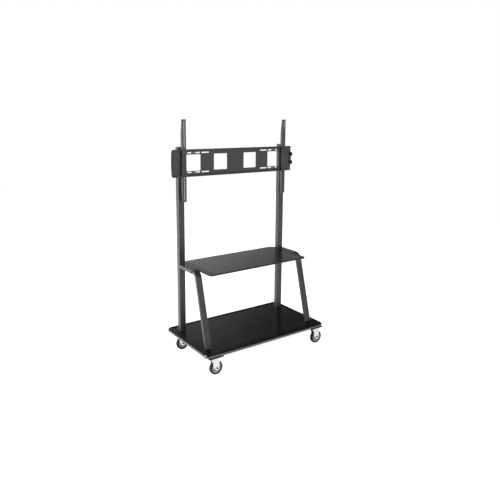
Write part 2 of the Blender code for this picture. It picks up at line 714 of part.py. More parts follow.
def make_legs():
    """Two bent tubes: up from the deck, then back to the columns."""
    half = COLUMN_WIDTH / 2
    leg = side_plate("leg_left", [leg_outline(0, OVERRUN)], -half, half)
    soften_edges(leg, "Tube corners", LEG_CORNER, TUBE_CORNER_SEGMENTS)
    cut(leg, side_plate("hollow", [leg_outline(LEG_WALL, 2 * OVERRUN)], LEG_WALL - half, half - LEG_WALL))
    ground = rectangle((LEG_FOOT_FRONT_Y - LEG_THICKNESS, DECK_TOP - LEG_THICKNESS),
                       (LEG_KNEE_Y, DECK_TOP + CLEARANCE))
    wall = rectangle((LEG_END_Y, LEG_RUN_BOTTOM - OVERRUN), (LEG_END_Y + LEG_THICKNESS, LEG_TOP + OVERRUN))
    cut(leg, side_plate("ends", [ground, wall], -COLUMN_WIDTH, COLUMN_WIDTH))
    plate_bottom = DECK_TOP + CLEARANCE + END_PLATE_RISE
    plate_middle = plate_bottom + END_PLATE_THICKNESS / 2
    front = LEG_FOOT_FRONT_Y + LEG_SLOPE * (plate_middle - DECK_TOP) + LEG_WALL / 2
    foot = rectangle((-half + LEG_WALL / 2, front), (half - LEG_WALL / 2, front + LEG_FOOT_DEPTH - LEG_WALL))
    hole = circle((0, LEG_FOOT_CENTRE_Y), FOOT_BOLT_RADIUS + FOOT_BOLT_HOLE_CLEARANCE)
    weld(leg, top_plate("end_plate", [foot, hole], plate_bottom, plate_bottom + END_PLATE_THICKNESS))
    bolt_hole = circle((COLUMN_FRONT_Y - SOCKET_BOLT_SETBACK, SOCKET_BOLT_Z), SOCKET_BOLT_RADIUS + CLEARANCE)
    cut(leg, side_plate("bolt_hole", [bolt_hole], -COLUMN_WIDTH, COLUMN_WIDTH))
    finish(leg, "powder_coat")
    copy_of(leg, "leg_right", (COLUMN_X, 0, 0))
    leg.location.x = -COLUMN_X


def make_leg_sockets():
    """A channel on each column's front, open below, that lies over the level part of a leg."""
    inner_half = COLUMN_WIDTH / 2 + CLEARANCE
    outer_half = inner_half + SOCKET_WALL
    back = COLUMN_FRONT_Y - CLEARANCE
    outline = rectangle((back - SOCKET_LENGTH, LEG_RUN_BOTTOM), (back, SHELF_TOP))
    for side, sign in SIDES:
        socket = side_plate(f"leg_socket_{side}", [outline], -outer_half, outer_half)
        pocket = rectangle((back - SOCKET_LENGTH - OVERRUN, LEG_RUN_BOTTOM - OVERRUN),
                           (back - SOCKET_WALL, SHELF_TOP - SOCKET_WALL))
        cut(socket, side_plate("pocket", [pocket], -inner_half, inner_half))
        bolt_hole = circle((COLUMN_FRONT_Y - SOCKET_BOLT_SETBACK, SOCKET_BOLT_Z),
                           SOCKET_BOLT_RADIUS + CLEARANCE)
        outside = sorted((sign * (inner_half - WELD_SINK), sign * (outer_half + OVERRUN)))
        cut(socket, side_plate("bolt_hole", [bolt_hole], *outside))
        socket.location.x += sign * COLUMN_X
        finish(socket, "powder_coat")
        profile = pan_head_bolt(outer_half + CLEARANCE, SOCKET_BOLT_HEAD_RADIUS, SOCKET_BOLT_HEAD_THICKNESS,
                                SOCKET_BOLT_RADIUS, SOCKET_BOLT_REACH)
        place = (sign * COLUMN_X, COLUMN_FRONT_Y - SOCKET_BOLT_SETBACK, SOCKET_BOLT_Z)
        bolt = turned(f"socket_bolt_{side}", profile, PIN_STEPS, sideways(place, sign))
        finish(bolt, "dark_bolt")


def shelf_outline(inset):
    """The shelf from above: straight sides, tight front corners and wide rear ones."""
    side = SOCKET_INNER_X - SHELF_SIDE_GAP - inset
    front = SHELF_FRONT_Y + inset
    rear = COLUMN_FRONT_Y + SHELF_REAR_OVERHANG - inset
    front_corner = SHELF_FRONT_CORNER - inset
    rear_corner = SHELF_REAR_CORNER - inset
    return rounded([
        (-side, front, front_corner), (side, front, front_corner),
        (side, rear, rear_corner), (-side, rear, rear_corner),
    ], LARGE_CORNER_SEGMENTS)


def make_shelf():
    """The sheet shelf with a turned-down edge and a crease along each side."""
    shelf = top_plate("shelf", [shelf_outline(0)], SHELF_TOP - SHELF_SKIRT, SHELF_TOP)
    under = top_plate("under", [shelf_outline(SHELF_SHEET)],
                      SHELF_TOP - SHELF_SKIRT - OVERRUN, SHELF_TOP - SHELF_SHEET)
    cut(shelf, under)
    crease_x = SOCKET_INNER_X - SHELF_SIDE_GAP - SHELF_CREASE_INSET
    for side, sign in SIDES:
        middle = (sign * crease_x, 0)
        groove = centred_rectangle(middle, SHELF_CREASE_WIDTH, 2 * BASE_DEPTH)
        cut(shelf, top_plate("groove", [groove], SHELF_TOP - SHELF_CREASE_DEPTH, SHELF_TOP + OVERRUN))
    notch_low = SHELF_TOP - SHELF_SKIRT - OVERRUN
    half = SHELF_RAIL_SIZE / 2 + SHELF_NOTCH_MARGIN
    for name, y in shelf_rail_places():
        notch = rectangle((y - half, notch_low), (y + half, SHELF_TOP - SHELF_SHEET))
        cut(shelf, side_plate("notch", [notch], -BASE_WIDTH / 2, BASE_WIDTH / 2))
    finish(shelf, "powder_coat")


def shelf_rail_places():
    """The shelf rails' names and depths."""
    return (("front", LEG_RUN_START_Y + SHELF_RAIL_FRONT_SETBACK),
            ("rear", COLUMN_FRONT_Y - SHELF_RAIL_REAR_SETBACK))


def make_shelf_rails():
    """Two square tubes under the shelf, from one leg's channel to the other's."""
    top = SHELF_TOP - SHELF_SHEET - CLEARANCE
    half = SOCKET_INNER_X - CLEARANCE
    for name, y in shelf_rail_places():
        outer = centred_rectangle((y, top - SHELF_RAIL_SIZE / 2), SHELF_RAIL_SIZE, SHELF_RAIL_SIZE)
        bore = SHELF_RAIL_SIZE - 2 * SHELF_RAIL_WALL
        inner = centred_rectangle((y, top - SHELF_RAIL_SIZE / 2), bore, bore)
        rail = side_plate(f"shelf_rail_{name}", [outer, inner], -half, half)
        finish(rail, "powder_coat")


def rail_bolt_places(centre_x):
    """The four rail bolts of one column, as (x, z)."""
    places = []
    for z in (SLOT_LOWER_Z, SLOT_UPPER_Z):
        for end in (-1, 1):
            places.append((centre_x + end * RAIL_BOLT_HALF_SPACING, z))
    return places


def rail_bolt_holes(centre_x):
    """The holes for one column's rail bolts, drawn from the front."""
    radius = RAIL_BOLT_RADIUS + RAIL_BOLT_HOLE_CLEARANCE
    return [circle(place, radius) for place in rail_bolt_places(centre_x)]


def rail_openings():
    """All windows, slots and holes of the rail, drawn from the front."""
    openings = []
    window_z = RAIL_BOTTOM + WINDOW_RISE + WINDOW_HEIGHT / 2
    slots = ((LONG_SLOT_SHARE, LONG_SLOT_LENGTH_SHARE), (MIDDLE_SLOT_SHARE, MIDDLE_SLOT_LENGTH_SHARE),
             (OUTER_SLOT_SHARE, OUTER_SLOT_LENGTH_SHARE))
    for side, sign in SIDES:
        reach = sign * COLUMN_X
        for share in (WINDOW_INNER_SHARE, WINDOW_OUTER_SHARE):
            middle = (reach * share, window_z)
            openings.append(centred_rectangle(middle, COLUMN_X * WINDOW_WIDTH_SHARE, WINDOW_HEIGHT))
        for z in (SLOT_LOWER_Z, SLOT_UPPER_Z):
            for share, length_share in slots:
                openings.append(slot((reach * share, z), COLUMN_X * length_share, SLOT_HEIGHT))
            openings.append(circle((reach * PILOT_HOLE_SHARE, z), PILOT_HOLE_RADIUS, SMALL_HOLE_STEPS))
        openings.extend(rail_bolt_holes(reach))
    return openings


def rail_corners():
    """The four corners that are cut off the rail's web, drawn from the front."""
    end = RAIL_LENGTH / 2
    corners = []
    for side, sign in SIDES:
        inner_x = sign * (end - RAIL_FLANGE_SETBACK)
        outer_x = sign * (end + OVERRUN)
        for edge, inward in ((RAIL_TOP, -1), (RAIL_BOTTOM, 1)):
            beyond = edge - inward * OVERRUN
            cut_z = edge + inward * RAIL_CORNER_RISE
            corners.append([(inner_x, beyond), (inner_x, edge), (sign * end, cut_z),
                            (outer_x, cut_z), (outer_x, beyond)])
    return corners


def make_rail():
    """The lipped channel that carries the arms."""
    inner_top = RAIL_TOP - RAIL_SHEET
    inner_bottom = RAIL_BOTTOM + RAIL_SHEET
    lip_back = RAIL_LIP_Y + RAIL_SHEET
    profile = [(RAIL_REAR_Y, RAIL_BOTTOM), (RAIL_REAR_Y, RAIL_TOP),
               (RAIL_LIP_Y, RAIL_TOP), (RAIL_LIP_Y, RAIL_TOP - RAIL_LIP),
               (lip_back, RAIL_TOP - RAIL_LIP), (lip_back, inner_top),
               (RAIL_WEB_Y, inner_top), (RAIL_WEB_Y, inner_bottom),
               (lip_back, inner_bottom), (lip_back, RAIL_BOTTOM + RAIL_LIP),
               (RAIL_LIP_Y, RAIL_BOTTOM + RAIL_LIP), (RAIL_LIP_Y, RAIL_BOTTOM)]
    end = RAIL_LENGTH / 2
    rail = side_plate("rail", [profile], -end, end)
    for side, sign in SIDES:
        x_ends = sorted((sign * (end - RAIL_FLANGE_SETBACK), sign * (end + OVERRUN)))
        low = (x_ends[0], RAIL_LIP_Y - OVERRUN, RAIL_BOTTOM - OVERRUN)
        high = (x_ends[1], RAIL_WEB_Y, RAIL_TOP + OVERRUN)
        cut(rail, block("flange_end", low, high))
    cut(rail, front_plate("corners", rail_corners(), RAIL_WEB_Y - OVERRUN, RAIL_REAR_Y + OVERRUN))
    cut(rail, front_plate("openings", rail_openings(), RAIL_WEB_Y - OVERRUN, RAIL_REAR_Y + OVERRUN))
    finish(rail, "powder_coat")


def make_rail_pads():
    """A spacer between the rail and each column."""
    low_z = SLOT_LOWER_Z - RAIL_PAD_MARGIN
    high_z = SLOT_UPPER_Z + RAIL_PAD_MARGIN
    front = RAIL_REAR_Y + CLEARANCE
    outline = rectangle((-COLUMN_WIDTH / 2, low_z), (COLUMN_WIDTH / 2, high_z))
    outlines = [outline, *rail_bolt_holes(0)]
    for side, sign in SIDES:
        pad = front_plate(f"rail_pad_{side}", outlines, front, front + RAIL_PAD_THICKNESS)
        pad.location.x = sign * COLUMN_X
        finish(pad, "powder_coat")


def make_rail_bolts():
    """Eight pan-head bolts through the rail and the spacers into the columns."""
    reach = RAIL_SHEET + RAIL_PAD_THICKNESS + 3 * CLEARANCE + RAIL_BOLT_REACH
    profile = pan_head_bolt(CLEARANCE, RAIL_BOLT_HEAD_RADIUS, RAIL_BOLT_HEAD_THICKNESS,
                            RAIL_BOLT_RADIUS, reach)
    first = None
    for side, sign in SIDES:
        for (x, z), row in zip(rail_bolt_places(sign * COLUMN_X), ("low_1", "low_2", "high_1", "high_2")):
            name = f"rail_bolt_{side}_{row}"
            place = (x, RAIL_WEB_Y, z)
            if first is None:
                first = turned(name, profile, PIN_STEPS, across(place))
                finish(first, "dark_bolt")
            else:
                copy_of(first, name, place)


def make_rail_end_stops():
    """A moulded stop on each end of the rail, with two fingers that keep the arms on."""
    outer = RAIL_LENGTH / 2 + STOP_PROUD
    inner = outer - STOP_FINGER_THICKNESS
    back = RAIL_WEB_Y - CLEARANCE
    centre_z = RAIL_BOTTOM + STOP_CENTRE_RISE
    half_span = STOP_FINGER_SPACING / 2
    strip = rectangle((back - STOP_STRIP_THICKNESS, centre_z - half_span), (back, centre_z + half_span))
    for side, sign in SIDES:
        ends = sorted((sign * inner, sign * outer))
        stop = side_plate(f"rail_end_stop_{side}", [strip], ends[0] + WELD_SINK, ends[1] - WELD_SINK)
        for end in (-1, 1):
            middle_z = centre_z + end * half_span
            finger = rectangle((back - STOP_FINGER_REACH, middle_z - STOP_FINGER_HEIGHT / 2),
                               (back - WELD_SINK, middle_z + STOP_FINGER_HEIGHT / 2), STOP_STRIP_THICKNESS)
            weld(stop, side_plate("finger", [finger], *ends))
        finish(stop, "black_plastic")


def arm_side_outline():
    """An arm's side wall, as (y, z), with the notch and hook for the rail."""
    front = ARM_FRONT_Y + WELD_SINK
    deep = ARM_FRONT_Y + ARM_DEPTH
    shallow = ARM_FRONT_Y + ARM_TIP_DEPTH
    notch = RAIL_LIP_Y - ARM_LIP_GAP
    low_edge = RAIL_BOTTOM - CLEARANCE
    high_edge = RAIL_TOP + CLEARANCE
    tongue_back = RAIL_REAR_Y + ARM_LIP_GAP + ARM_HOOK_TONGUE_THICKNESS
    tongue_front = RAIL_REAR_Y + ARM_LIP_GAP
    hook_top = high_edge + ARM_HOOK_HEIGHT
    return [(front, ARM_BOTTOM), (shallow, ARM_BOTTOM),
            (deep, ARM_BOTTOM + ARM_TAPER_LENGTH), (deep, low_edge),
            (notch, low_edge), (notch, high_edge), (tongue_front, high_edge),
            (tongue_front, high_edge - ARM_HOOK_TONGUE), (tongue_back, high_edge - ARM_HOOK_TONGUE),
            (tongue_back, hook_top), (deep, hook_top + ARM_HOOK_HEIGHT),
            (deep, ARM_TOP - ARM_TAPER_LENGTH), (shallow, ARM_TOP), (front, ARM_TOP)]


def arm_slots():
    """The column of slots down an arm's face."""
    length = ARM_TOP - ARM_BOTTOM - 2 * ARM_SLOT_END_MARGIN - ARM_SLOT_LENGTH
    count = int(length / ARM_SLOT_PITCH) + 1
    first = (ARM_TOP + ARM_BOTTOM) / 2 - ARM_SLOT_PITCH * (count - 1) / 2
    return [slot((0, first + ARM_SLOT_PITCH * index), ARM_SLOT_WIDTH, ARM_SLOT_LENGTH, ARM_SLOT_END_SEGMENTS)
            for index in range(count)]


def make_arms():
    """Two slotted channels that hang on the rail and slide along it."""
    half = ARM_WIDTH / 2
    face = rectangle((-half + WELD_SINK, ARM_BOTTOM), (half - WELD_SINK, ARM_TOP))
    arm = front_plate("arm_left", [face, *arm_slots()], ARM_FRONT_Y, ARM_FRONT_Y + ARM_SHEET)
    for end in (-1, 1):
        edges = sorted((end * half, end * (half - ARM_SHEET)))
        weld(arm, side_plate("side_wall", [arm_side_outline()], *edges))
    bridge_top = RAIL_BOTTOM - LOCK_BRIDGE_DROP
    screw_y = (RAIL_LIP_Y + RAIL_REAR_Y) / 2
    bridge = rectangle((-half + ARM_SHEET / 2, ARM_FRONT_Y + ARM_SHEET / 2),
                       (half - ARM_SHEET / 2, ARM_FRONT_Y + ARM_DEPTH - WELD_SINK))
    hole = circle((0, screw_y), LOCK_SCREW_RADIUS + LOCK_HOLE_CLEARANCE)
    weld(arm, top_plate("bridge", [bridge, hole], bridge_top - LOCK_BRIDGE_THICKNESS, bridge_top))
    finish(arm, "powder_coat")
    arm.location.x = -ARM_X
    copy_of(arm, "arm_right", (ARM_X, arm.location.y, arm.location.z))
    tip = RAIL_BOTTOM - CLEARANCE
    knob_top = tip - LOCK_SCREW_DROP
    profile = [(0, tip), (LOCK_SCREW_RADIUS, tip), (LOCK_SCREW_RADIUS, knob_top),
               (LOCK_KNOB_RADIUS, knob_top), (LOCK_KNOB_RADIUS, knob_top - LOCK_KNOB_HEIGHT),
               (0, knob_top - LOCK_KNOB_HEIGHT)]
    screw = turned("arm_lock_screw_left", profile, PIN_STEPS, upright((-ARM_X, screw_y, 0)))
    finish(screw, "dark_bolt")
    copy_of(screw, "arm_lock_screw_right", (ARM_X, screw_y, 0))


def caster_plate():
    """The bolted plate with its upper ball race."""
    outline = centred_rectangle((0, 0), CASTER_PLATE_LENGTH, CASTER_PLATE_DEPTH, CASTER_PLATE_CORNER)
    bore = circle((0, 0), RACE_BORE_RADIUS)
    piece = top_plate("caster_plate", [outline, bore], PLATE_BOTTOM, CASTER_HEIGHT)
    race = [(RACE_BORE_RADIUS + WELD_SINK, PLATE_BOTTOM + WELD_SINK),
            (RACE_RADIUS, PLATE_BOTTOM + WELD_SINK),
            (RACE_RADIUS, PLATE_BOTTOM - RACE_THICKNESS / 2),
            (RACE_RADIUS - RACE_THICKNESS / 2, PLATE_BOTTOM - RACE_THICKNESS),
            (RACE_BORE_RADIUS + WELD_SINK, PLATE_BOTTOM - RACE_THICKNESS)]
    weld(piece, turned("race", race, RACE_STEPS, upright((0, 0, 0)), ring=True))
    heads = []
    for x_end in (-1, 1):
        for y_end in (-1, 1):
            place = (x_end * CASTER_BOLT_SPACING_X / 2, y_end * CASTER_BOLT_SPACING_Y / 2)
            heads.append(hexagon(place, CASTER_BOLT_ACROSS_FLATS))
    weld(piece, top_plate("heads", heads, CASTER_HEAD_BOTTOM, PLATE_BOTTOM + WELD_SINK))
    return finish(piece, "black_plastic")


def fork_outline():
    """A fork leg seen from the front, as (x, z): a wide crown, a straight leg and a round tip."""
    axle = Vector((CASTER_TRAIL, WHEEL_RADIUS))
    rear_x = CASTER_TRAIL - FORK_LEG_REAR
    taper_z = WHEEL_RADIUS + FORK_TAPER_RISE
    points = rounded([
        (FORK_FRONT_X, CROWN_TOP, FORK_TOP_CORNER),
        (-FORK_CROWN_REAR, CROWN_TOP, FORK_TOP_CORNER),
        (-FORK_CROWN_REAR, CROWN_TOP - FORK_CROWN_HEIGHT, 0),
        (rear_x, CROWN_TOP - FORK_SHOULDER_HEIGHT, 0),
        (rear_x, taper_z, 0),
        (FORK_FRONT_X, taper_z, 0),
    ])
    front_corner = points.pop()
    left_side = points[-1] - axle
    right_side = front_corner - axle
    left_angle = math.atan2(left_side.y, left_side.x) + math.acos(FORK_TIP_RADIUS / left_side.length)
    right_angle = math.atan2(right_side.y, right_side.x) - math.acos(FORK_TIP_RADIUS / right_side.length)
    right_angle += math.tau
    for step in range(BEND_SEGMENTS + 1):
        angle = left_angle + (right_angle - left_angle) * step / BEND_SEGMENTS
        points.append(axle + FORK_TIP_RADIUS * Vector((math.cos(angle), math.sin(angle))))
    return [*points, front_corner]


def caster_fork():
    """The zinc fork with its lower ball race and kingpin."""
    half = FORK_WIDTH / 2
    inner = FORK_INNER_WIDTH / 2
    piece = front_plate("fork", [fork_outline()], -half, half)
    cut(piece, block("gap", (-BASE_WIDTH, -inner, 0), (BASE_WIDTH, inner, CROWN_BOTTOM)))
    axle_hole = circle((CASTER_TRAIL, WHEEL_RADIUS), AXLE_BORE_RADIUS)
    pin_hole = circle((PEDAL_PIVOT_X, PEDAL_PIVOT_Z), PEDAL_PIN_RADIUS + PEDAL_PIN_CLEARANCE)
    cut(piece, front_plate("holes", [axle_hole, pin_hole], -FORK_WIDTH, FORK_WIDTH))
    race_top = CROWN_TOP + RACE_THICKNESS
    pin = [(0, CASTER_HEIGHT - CLEARANCE), (KINGPIN_RADIUS, CASTER_HEIGHT - CLEARANCE),
           (KINGPIN_RADIUS, race_top), (RACE_RADIUS - RACE_THICKNESS, race_top),
           (RACE_RADIUS - RACE_THICKNESS / 2, CROWN_TOP + RACE_THICKNESS / 2),
           (RACE_RADIUS - RACE_THICKNESS / 2, CROWN_TOP - WELD_SINK), (0, CROWN_TOP - WELD_SINK)]
    weld(piece, turned("kingpin", pin, RACE_STEPS, upright((0, 0, 0))))
    return finish(piece, "zinc_plate")


def caster_hub():
    """The moulded wheel centre, with a rim, a drilled web and a boss."""
    rim_radius = WHEEL_RADIUS - TYRE_DEPTH
    rim_inner = rim_radius - HUB_RIM_DEPTH
    half_rim = HUB_WIDTH / 2
    half_web = HUB_WEB_THICKNESS / 2
    half_boss = HUB_BOSS_WIDTH / 2
    profile = [(AXLE_BORE_RADIUS, half_boss), (HUB_BOSS_RADIUS, half_boss), (HUB_BOSS_RADIUS, half_web),
               (rim_inner, half_web), (rim_inner, half_rim), (rim_radius, half_rim),
               (rim_radius, -half_rim), (rim_inner, -half_rim), (rim_inner, -half_web),
               (HUB_BOSS_RADIUS, -half_web), (HUB_BOSS_RADIUS, -half_boss), (AXLE_BORE_RADIUS, -half_boss)]
    piece = turned("hub", profile, HUB_STEPS, across((0, 0, 0)), ring=True)
    ring_radius = (HUB_BOSS_RADIUS + rim_inner) / 2
    holes = []
    for index in range(HUB_HOLE_COUNT):
        angle = math.tau * index / HUB_HOLE_COUNT
        place = (ring_radius * math.cos(angle), ring_radius * math.sin(angle))
        holes.append(circle(place, HUB_HOLE_RADIUS, SMALL_HOLE_STEPS))
    cut(piece, front_plate("holes", holes, -HUB_WIDTH, HUB_WIDTH))
    return finish(piece, "hub_plastic")


def caster_tyre():
    """The rubber tyre, with round shoulders."""
    inner = WHEEL_RADIUS - TYRE_DEPTH + CLEARANCE
    half = WHEEL_WIDTH / 2
    flat = half - TYRE_SHOULDER
    profile = [(inner, half), (WHEEL_RADIUS - TYRE_SHOULDER, half)]
    for step in range(1, TYRE_SHOULDER_STEPS + 1):
        angle = math.radians(90) * step / TYRE_SHOULDER_STEPS
        profile.append((WHEEL_RADIUS - TYRE_SHOULDER + TYRE_SHOULDER * math.sin(angle),
                        flat + TYRE_SHOULDER * math.cos(angle)))
    profile += [(radius, -height) for radius, height in reversed(profile)]
    piece = turned("tyre", profile, WHEEL_STEPS, across((0, 0, 0)), ring=True)
    return finish(piece, "tyre_rubber")


def caster_axle():
    """The axle bolt, with its head in front and its nut behind."""
    half = FORK_WIDTH / 2 + CLEARANCE
    piece = front_plate("axle", [circle((0, 0), AXLE_RADIUS)], -half - WELD_SINK, half + WELD_SINK)
    for low, high in ((-half - AXLE_HEAD_THICKNESS, -half), (half, half + AXLE_HEAD_THICKNESS)):
        weld(piece, front_plate("head", [hexagon((0, 0), AXLE_HEAD_ACROSS_FLATS)], low, high))
    piece.location = (CASTER_TRAIL, 0, WHEEL_RADIUS)
    return finish(piece, "dark_bolt")


def caster_pedal():
    """The brake pedal on its pivot pin, drawn from the front round the pivot: a lever with a wide pad."""
    top = PEDAL_BARREL_RADIUS * PEDAL_TOP_SHARE
    bottom = top - PEDAL_THICKNESS
    pad_top = CASTER_HEAD_BOTTOM - PEDAL_PAD_GAP - PEDAL_PIVOT_Z
    pad_bottom = pad_top - PEDAL_THICKNESS
    bend_x = FORK_FRONT_X + PEDAL_FRONT_GAP - PEDAL_PIVOT_X
    pad_x = bend_x + PEDAL_RISE_RUN
    rise_angle = math.atan2(pad_top - top, PEDAL_RISE_RUN)
    lean = PEDAL_THICKNESS * math.tan(rise_angle / 2)
    inside_x = pad_x + WELD_SINK
    inside_top = pad_top - WELD_SINK
    heel_x = -PEDAL_BARREL_RADIUS * PEDAL_HEEL_SHARE
    lever = [(heel_x, bottom), (bend_x, bottom), (inside_x, pad_bottom + WELD_SINK),
             (inside_x + PEDAL_THICKNESS, inside_top), (pad_x - lean, inside_top),
             (bend_x - lean, top), (heel_x, top)]
    half = FORK_INNER_WIDTH / 2 - PEDAL_SIDE_GAP
    piece = front_plate("pedal", [lever], -half, half)
    shoe_x = CASTER_TRAIL - PEDAL_PIVOT_X
    shoe_low = (shoe_x - BRAKE_SHOE_LENGTH / 2, WELD_SINK - half, -BRAKE_SHOE_DROP)
    shoe_high = (shoe_x + BRAKE_SHOE_LENGTH / 2, half - WELD_SINK, bottom + WELD_SINK)
    weld(piece, block("shoe", shoe_low, shoe_high))
    pad_middle = (pad_x + PEDAL_PAD_LENGTH / 2, 0)
    pad = centred_rectangle(pad_middle, PEDAL_PAD_LENGTH, PEDAL_PAD_WIDTH, PEDAL_PAD_CORNER)
    weld(piece, top_plate("pad", [pad], pad_bottom, pad_top))
    barrel = circle((0, 0), PEDAL_BARREL_RADIUS)
    weld(piece, front_plate("barrel", [barrel], WELD_SINK - half, half - WELD_SINK))
    weld(piece, front_plate("pin", [circle((0, 0), PEDAL_PIN_RADIUS)], -FORK_WIDTH / 2, FORK_WIDTH / 2))
    return finish(piece, "black_plastic")


def make_casters():
    """Four swivel casters; the two in front have brake pedals."""
    patterns = {"plate": caster_plate(), "fork": caster_fork(), "hub": caster_hub(),
                "tyre": caster_tyre(), "axle_bolt": caster_axle(), "brake_pedal": caster_pedal()}
    for end, y in (("front", CASTER_FRONT_Y), ("rear", CASTER_REAR_Y)):
        for side, sign in SIDES:
            prefix = f"caster_{end}_{side}"
            swivel = add_empty(f"{prefix}_swivel_axis", (sign * CASTER_X, y, 0))
            wheel = add_empty(f"{prefix}_wheel_axis", (CASTER_TRAIL, 0, WHEEL_RADIUS), swivel)
            parents = {"plate": swivel, "fork": swivel, "hub": wheel, "tyre": wheel, "axle_bolt": swivel}
            if end == "front":
                pivot = (PEDAL_PIVOT_X, 0, PEDAL_PIVOT_Z)
                parents["brake_pedal"] = add_empty(f"{prefix}_pedal_axis", pivot, swivel)
            for piece, parent in parents.items():
                pattern = patterns[piece]
                copy_of(pattern, f"{prefix}_{piece}", pattern.location, parent)
    for pattern in patterns.values():
        bpy.data.objects.remove(pattern, do_unlink=True)


clear_scene()
PARTS = make_collection("rolling_display_stand")
make_materials()
make_base_rim()
make_deck_panel()
make_base_frame()
make_foot_bolts()
make_columns()
make_column_caps()
make_legs()
make_leg_sockets()
make_shelf()
make_shelf_rails()
make_rail()
make_rail_pads()
make_rail_bolts()
make_rail_end_stops()
make_arms()
make_casters()
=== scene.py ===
# %% [markdown]
# # A rolling stand for two screens, dressed for its picture
# The stand's pieces come from its construction model: tubes, sheet metal, casters and bolts, each in its
# true place. That model is the frame. Every step here takes one group of pieces, says what it is on the real
# stand, and makes it again with the bends, round edges and finishes that a workshop gives it.

# %% Load the frame
import math

import bmesh
import bpy
from mathutils import Matrix, Vector


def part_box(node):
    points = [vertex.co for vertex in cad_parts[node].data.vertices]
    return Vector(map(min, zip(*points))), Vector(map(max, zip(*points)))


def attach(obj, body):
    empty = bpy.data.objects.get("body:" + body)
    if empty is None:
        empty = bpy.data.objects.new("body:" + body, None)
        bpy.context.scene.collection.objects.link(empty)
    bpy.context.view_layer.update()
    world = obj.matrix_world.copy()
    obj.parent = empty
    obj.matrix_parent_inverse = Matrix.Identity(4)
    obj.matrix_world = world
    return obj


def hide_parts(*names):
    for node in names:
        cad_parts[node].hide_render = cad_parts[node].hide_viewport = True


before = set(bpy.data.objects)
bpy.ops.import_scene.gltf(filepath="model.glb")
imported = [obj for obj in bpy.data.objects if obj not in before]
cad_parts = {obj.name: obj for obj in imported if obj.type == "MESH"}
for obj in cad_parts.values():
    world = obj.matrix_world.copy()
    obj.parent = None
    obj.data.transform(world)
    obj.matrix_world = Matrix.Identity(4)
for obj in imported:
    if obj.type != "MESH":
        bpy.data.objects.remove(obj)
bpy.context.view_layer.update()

SIDES = (("left", -1), ("right", 1))

# %% [markdown]
# ## The camera
# The picture was taken from the left, at about standing height, with a lens a little longer than normal. The
# upright lines stay nearly upright in it, so the camera looks down only slightly and the picture is shifted.
# A camera's matrix is made of three directions: right, up and backwards. Turning, tilting and rolling
# give these directions, so the camera is placed by its own numbers and not by a target.

# %% Place the camera
CAMERA_PLACE = Vector((-2.440, -3.461, 1.923))
CAMERA_TURN = math.radians(35.51)
CAMERA_TILT = math.radians(9.91)
CAMERA_ROLL = math.radians(0.48)
PICTURE_SIDE = 500
FOCAL_PIXELS = 528.5
CENTRE_ROW = 208
SENSOR_WIDTH = 36

ahead = Vector((math.sin(CAMERA_TURN) * math.cos(CAMERA_TILT),
                math.cos(CAMERA_TURN) * math.cos(CAMERA_TILT),
                -math.sin(CAMERA_TILT)))
level_right = Vector((math.cos(CAMERA_TURN), -math.sin(CAMERA_TURN), 0))
level_up = level_right.cross(ahead)
right = math.cos(CAMERA_ROLL) * level_right + math.sin(CAMERA_ROLL) * level_up
up = math.cos(CAMERA_ROLL) * level_up - math.sin(CAMERA_ROLL) * level_right

lens = bpy.data.cameras.new("camera")
lens.sensor_width = SENSOR_WIDTH
lens.lens = FOCAL_PIXELS / PICTURE_SIDE * SENSOR_WIDTH
lens.shift_y = (CENTRE_ROW - PICTURE_SIDE / 2) / PICTURE_SIDE
camera = bpy.data.objects.new("camera", lens)
bpy.context.scene.collection.objects.link(camera)
camera.matrix_world = Matrix.Translation(CAMERA_PLACE) @ Matrix((right, up, -ahead)).transposed().to_4x4()
bpy.context.scene.camera = camera
print("lens in mm:", round(lens.lens, 2), "shift:", round(lens.shift_y, 3))

# %% [markdown]
# ## Floor and light
# The stand is black and stands in a white studio. A black satin coat shows what it mirrors more than its own
# colour, so the room matters as much as the lamps. The camera sees white all round. A mirrored ray sees
# walls: white near the horizon, dark higher up, and darker still on the right, which gives the shelf and
# the deck the greys of the photo. Any other ray sees a dim, even light. The floor is white to the camera
# and in mirrors, and keeps the stand's shadow. One large soft lamp stands behind on the left, because
# the left faces of the tubes are the brightest, and a weaker one fills from the front.


# %% Helpers for shader nodes
def new_node(tree, kind, inputs=None, **settings):
    """Add a node to a shader tree, set its fields, and fill its inputs with values or links."""
    node = tree.nodes.new(kind)
    for field, value in settings.items():
        setattr(node, field, value)
    for name, value in (inputs or {}).items():
        if isinstance(value, bpy.types.NodeSocket):
            tree.links.new(value, node.inputs[name])
        else:
            node.inputs[name].default_value = value
    return node


def either(tree, *values):
    """The larger of some values."""
    result = values[0]
    for value in values[1:]:
        result = new_node(tree, "ShaderNodeMath", {0: result, 1: value}, operation="MAXIMUM").outputs[0]
    return result


def grey(level):
    """A grey as a colour."""
    return (level, level, level, 1)


def emptied(owner):
    """The owner's shader tree, without its first nodes."""
    owner.use_nodes = True
    owner.node_tree.nodes.clear()
    return owner.node_tree


# %% The room's walls, as a mirror sees them: (height, brightness)
LEFT_WALL = ((0.20, 1.0), (0.27, 0.85), (0.33, 0.36), (0.39, 0.17), (0.50, 0.07), (0.80, 0.03))
RIGHT_WALL = ((0.20, 1.0), (0.22, 0.10), (0.33, 0.05), (0.39, 0.03), (0.50, 0.02), (0.80, 0.01))
RAMP_MIDDLE = 0.5
EDGE_AZIMUTH = math.radians(34.5)
EDGE_START = -0.08
EDGE_END = 0.06


def wall_levels(tree, height, stops):
    """How bright a wall is at each height."""
    ramp = new_node(tree, "ShaderNodeValToRGB", {"Fac": height})
    elements = ramp.color_ramp.elements
    while len(elements) < len(stops):
        elements.new(RAMP_MIDDLE)
    for element, (position, level) in zip(elements, stops):
        element.position = position
        element.color = grey(level)
    return ramp.outputs["Color"]


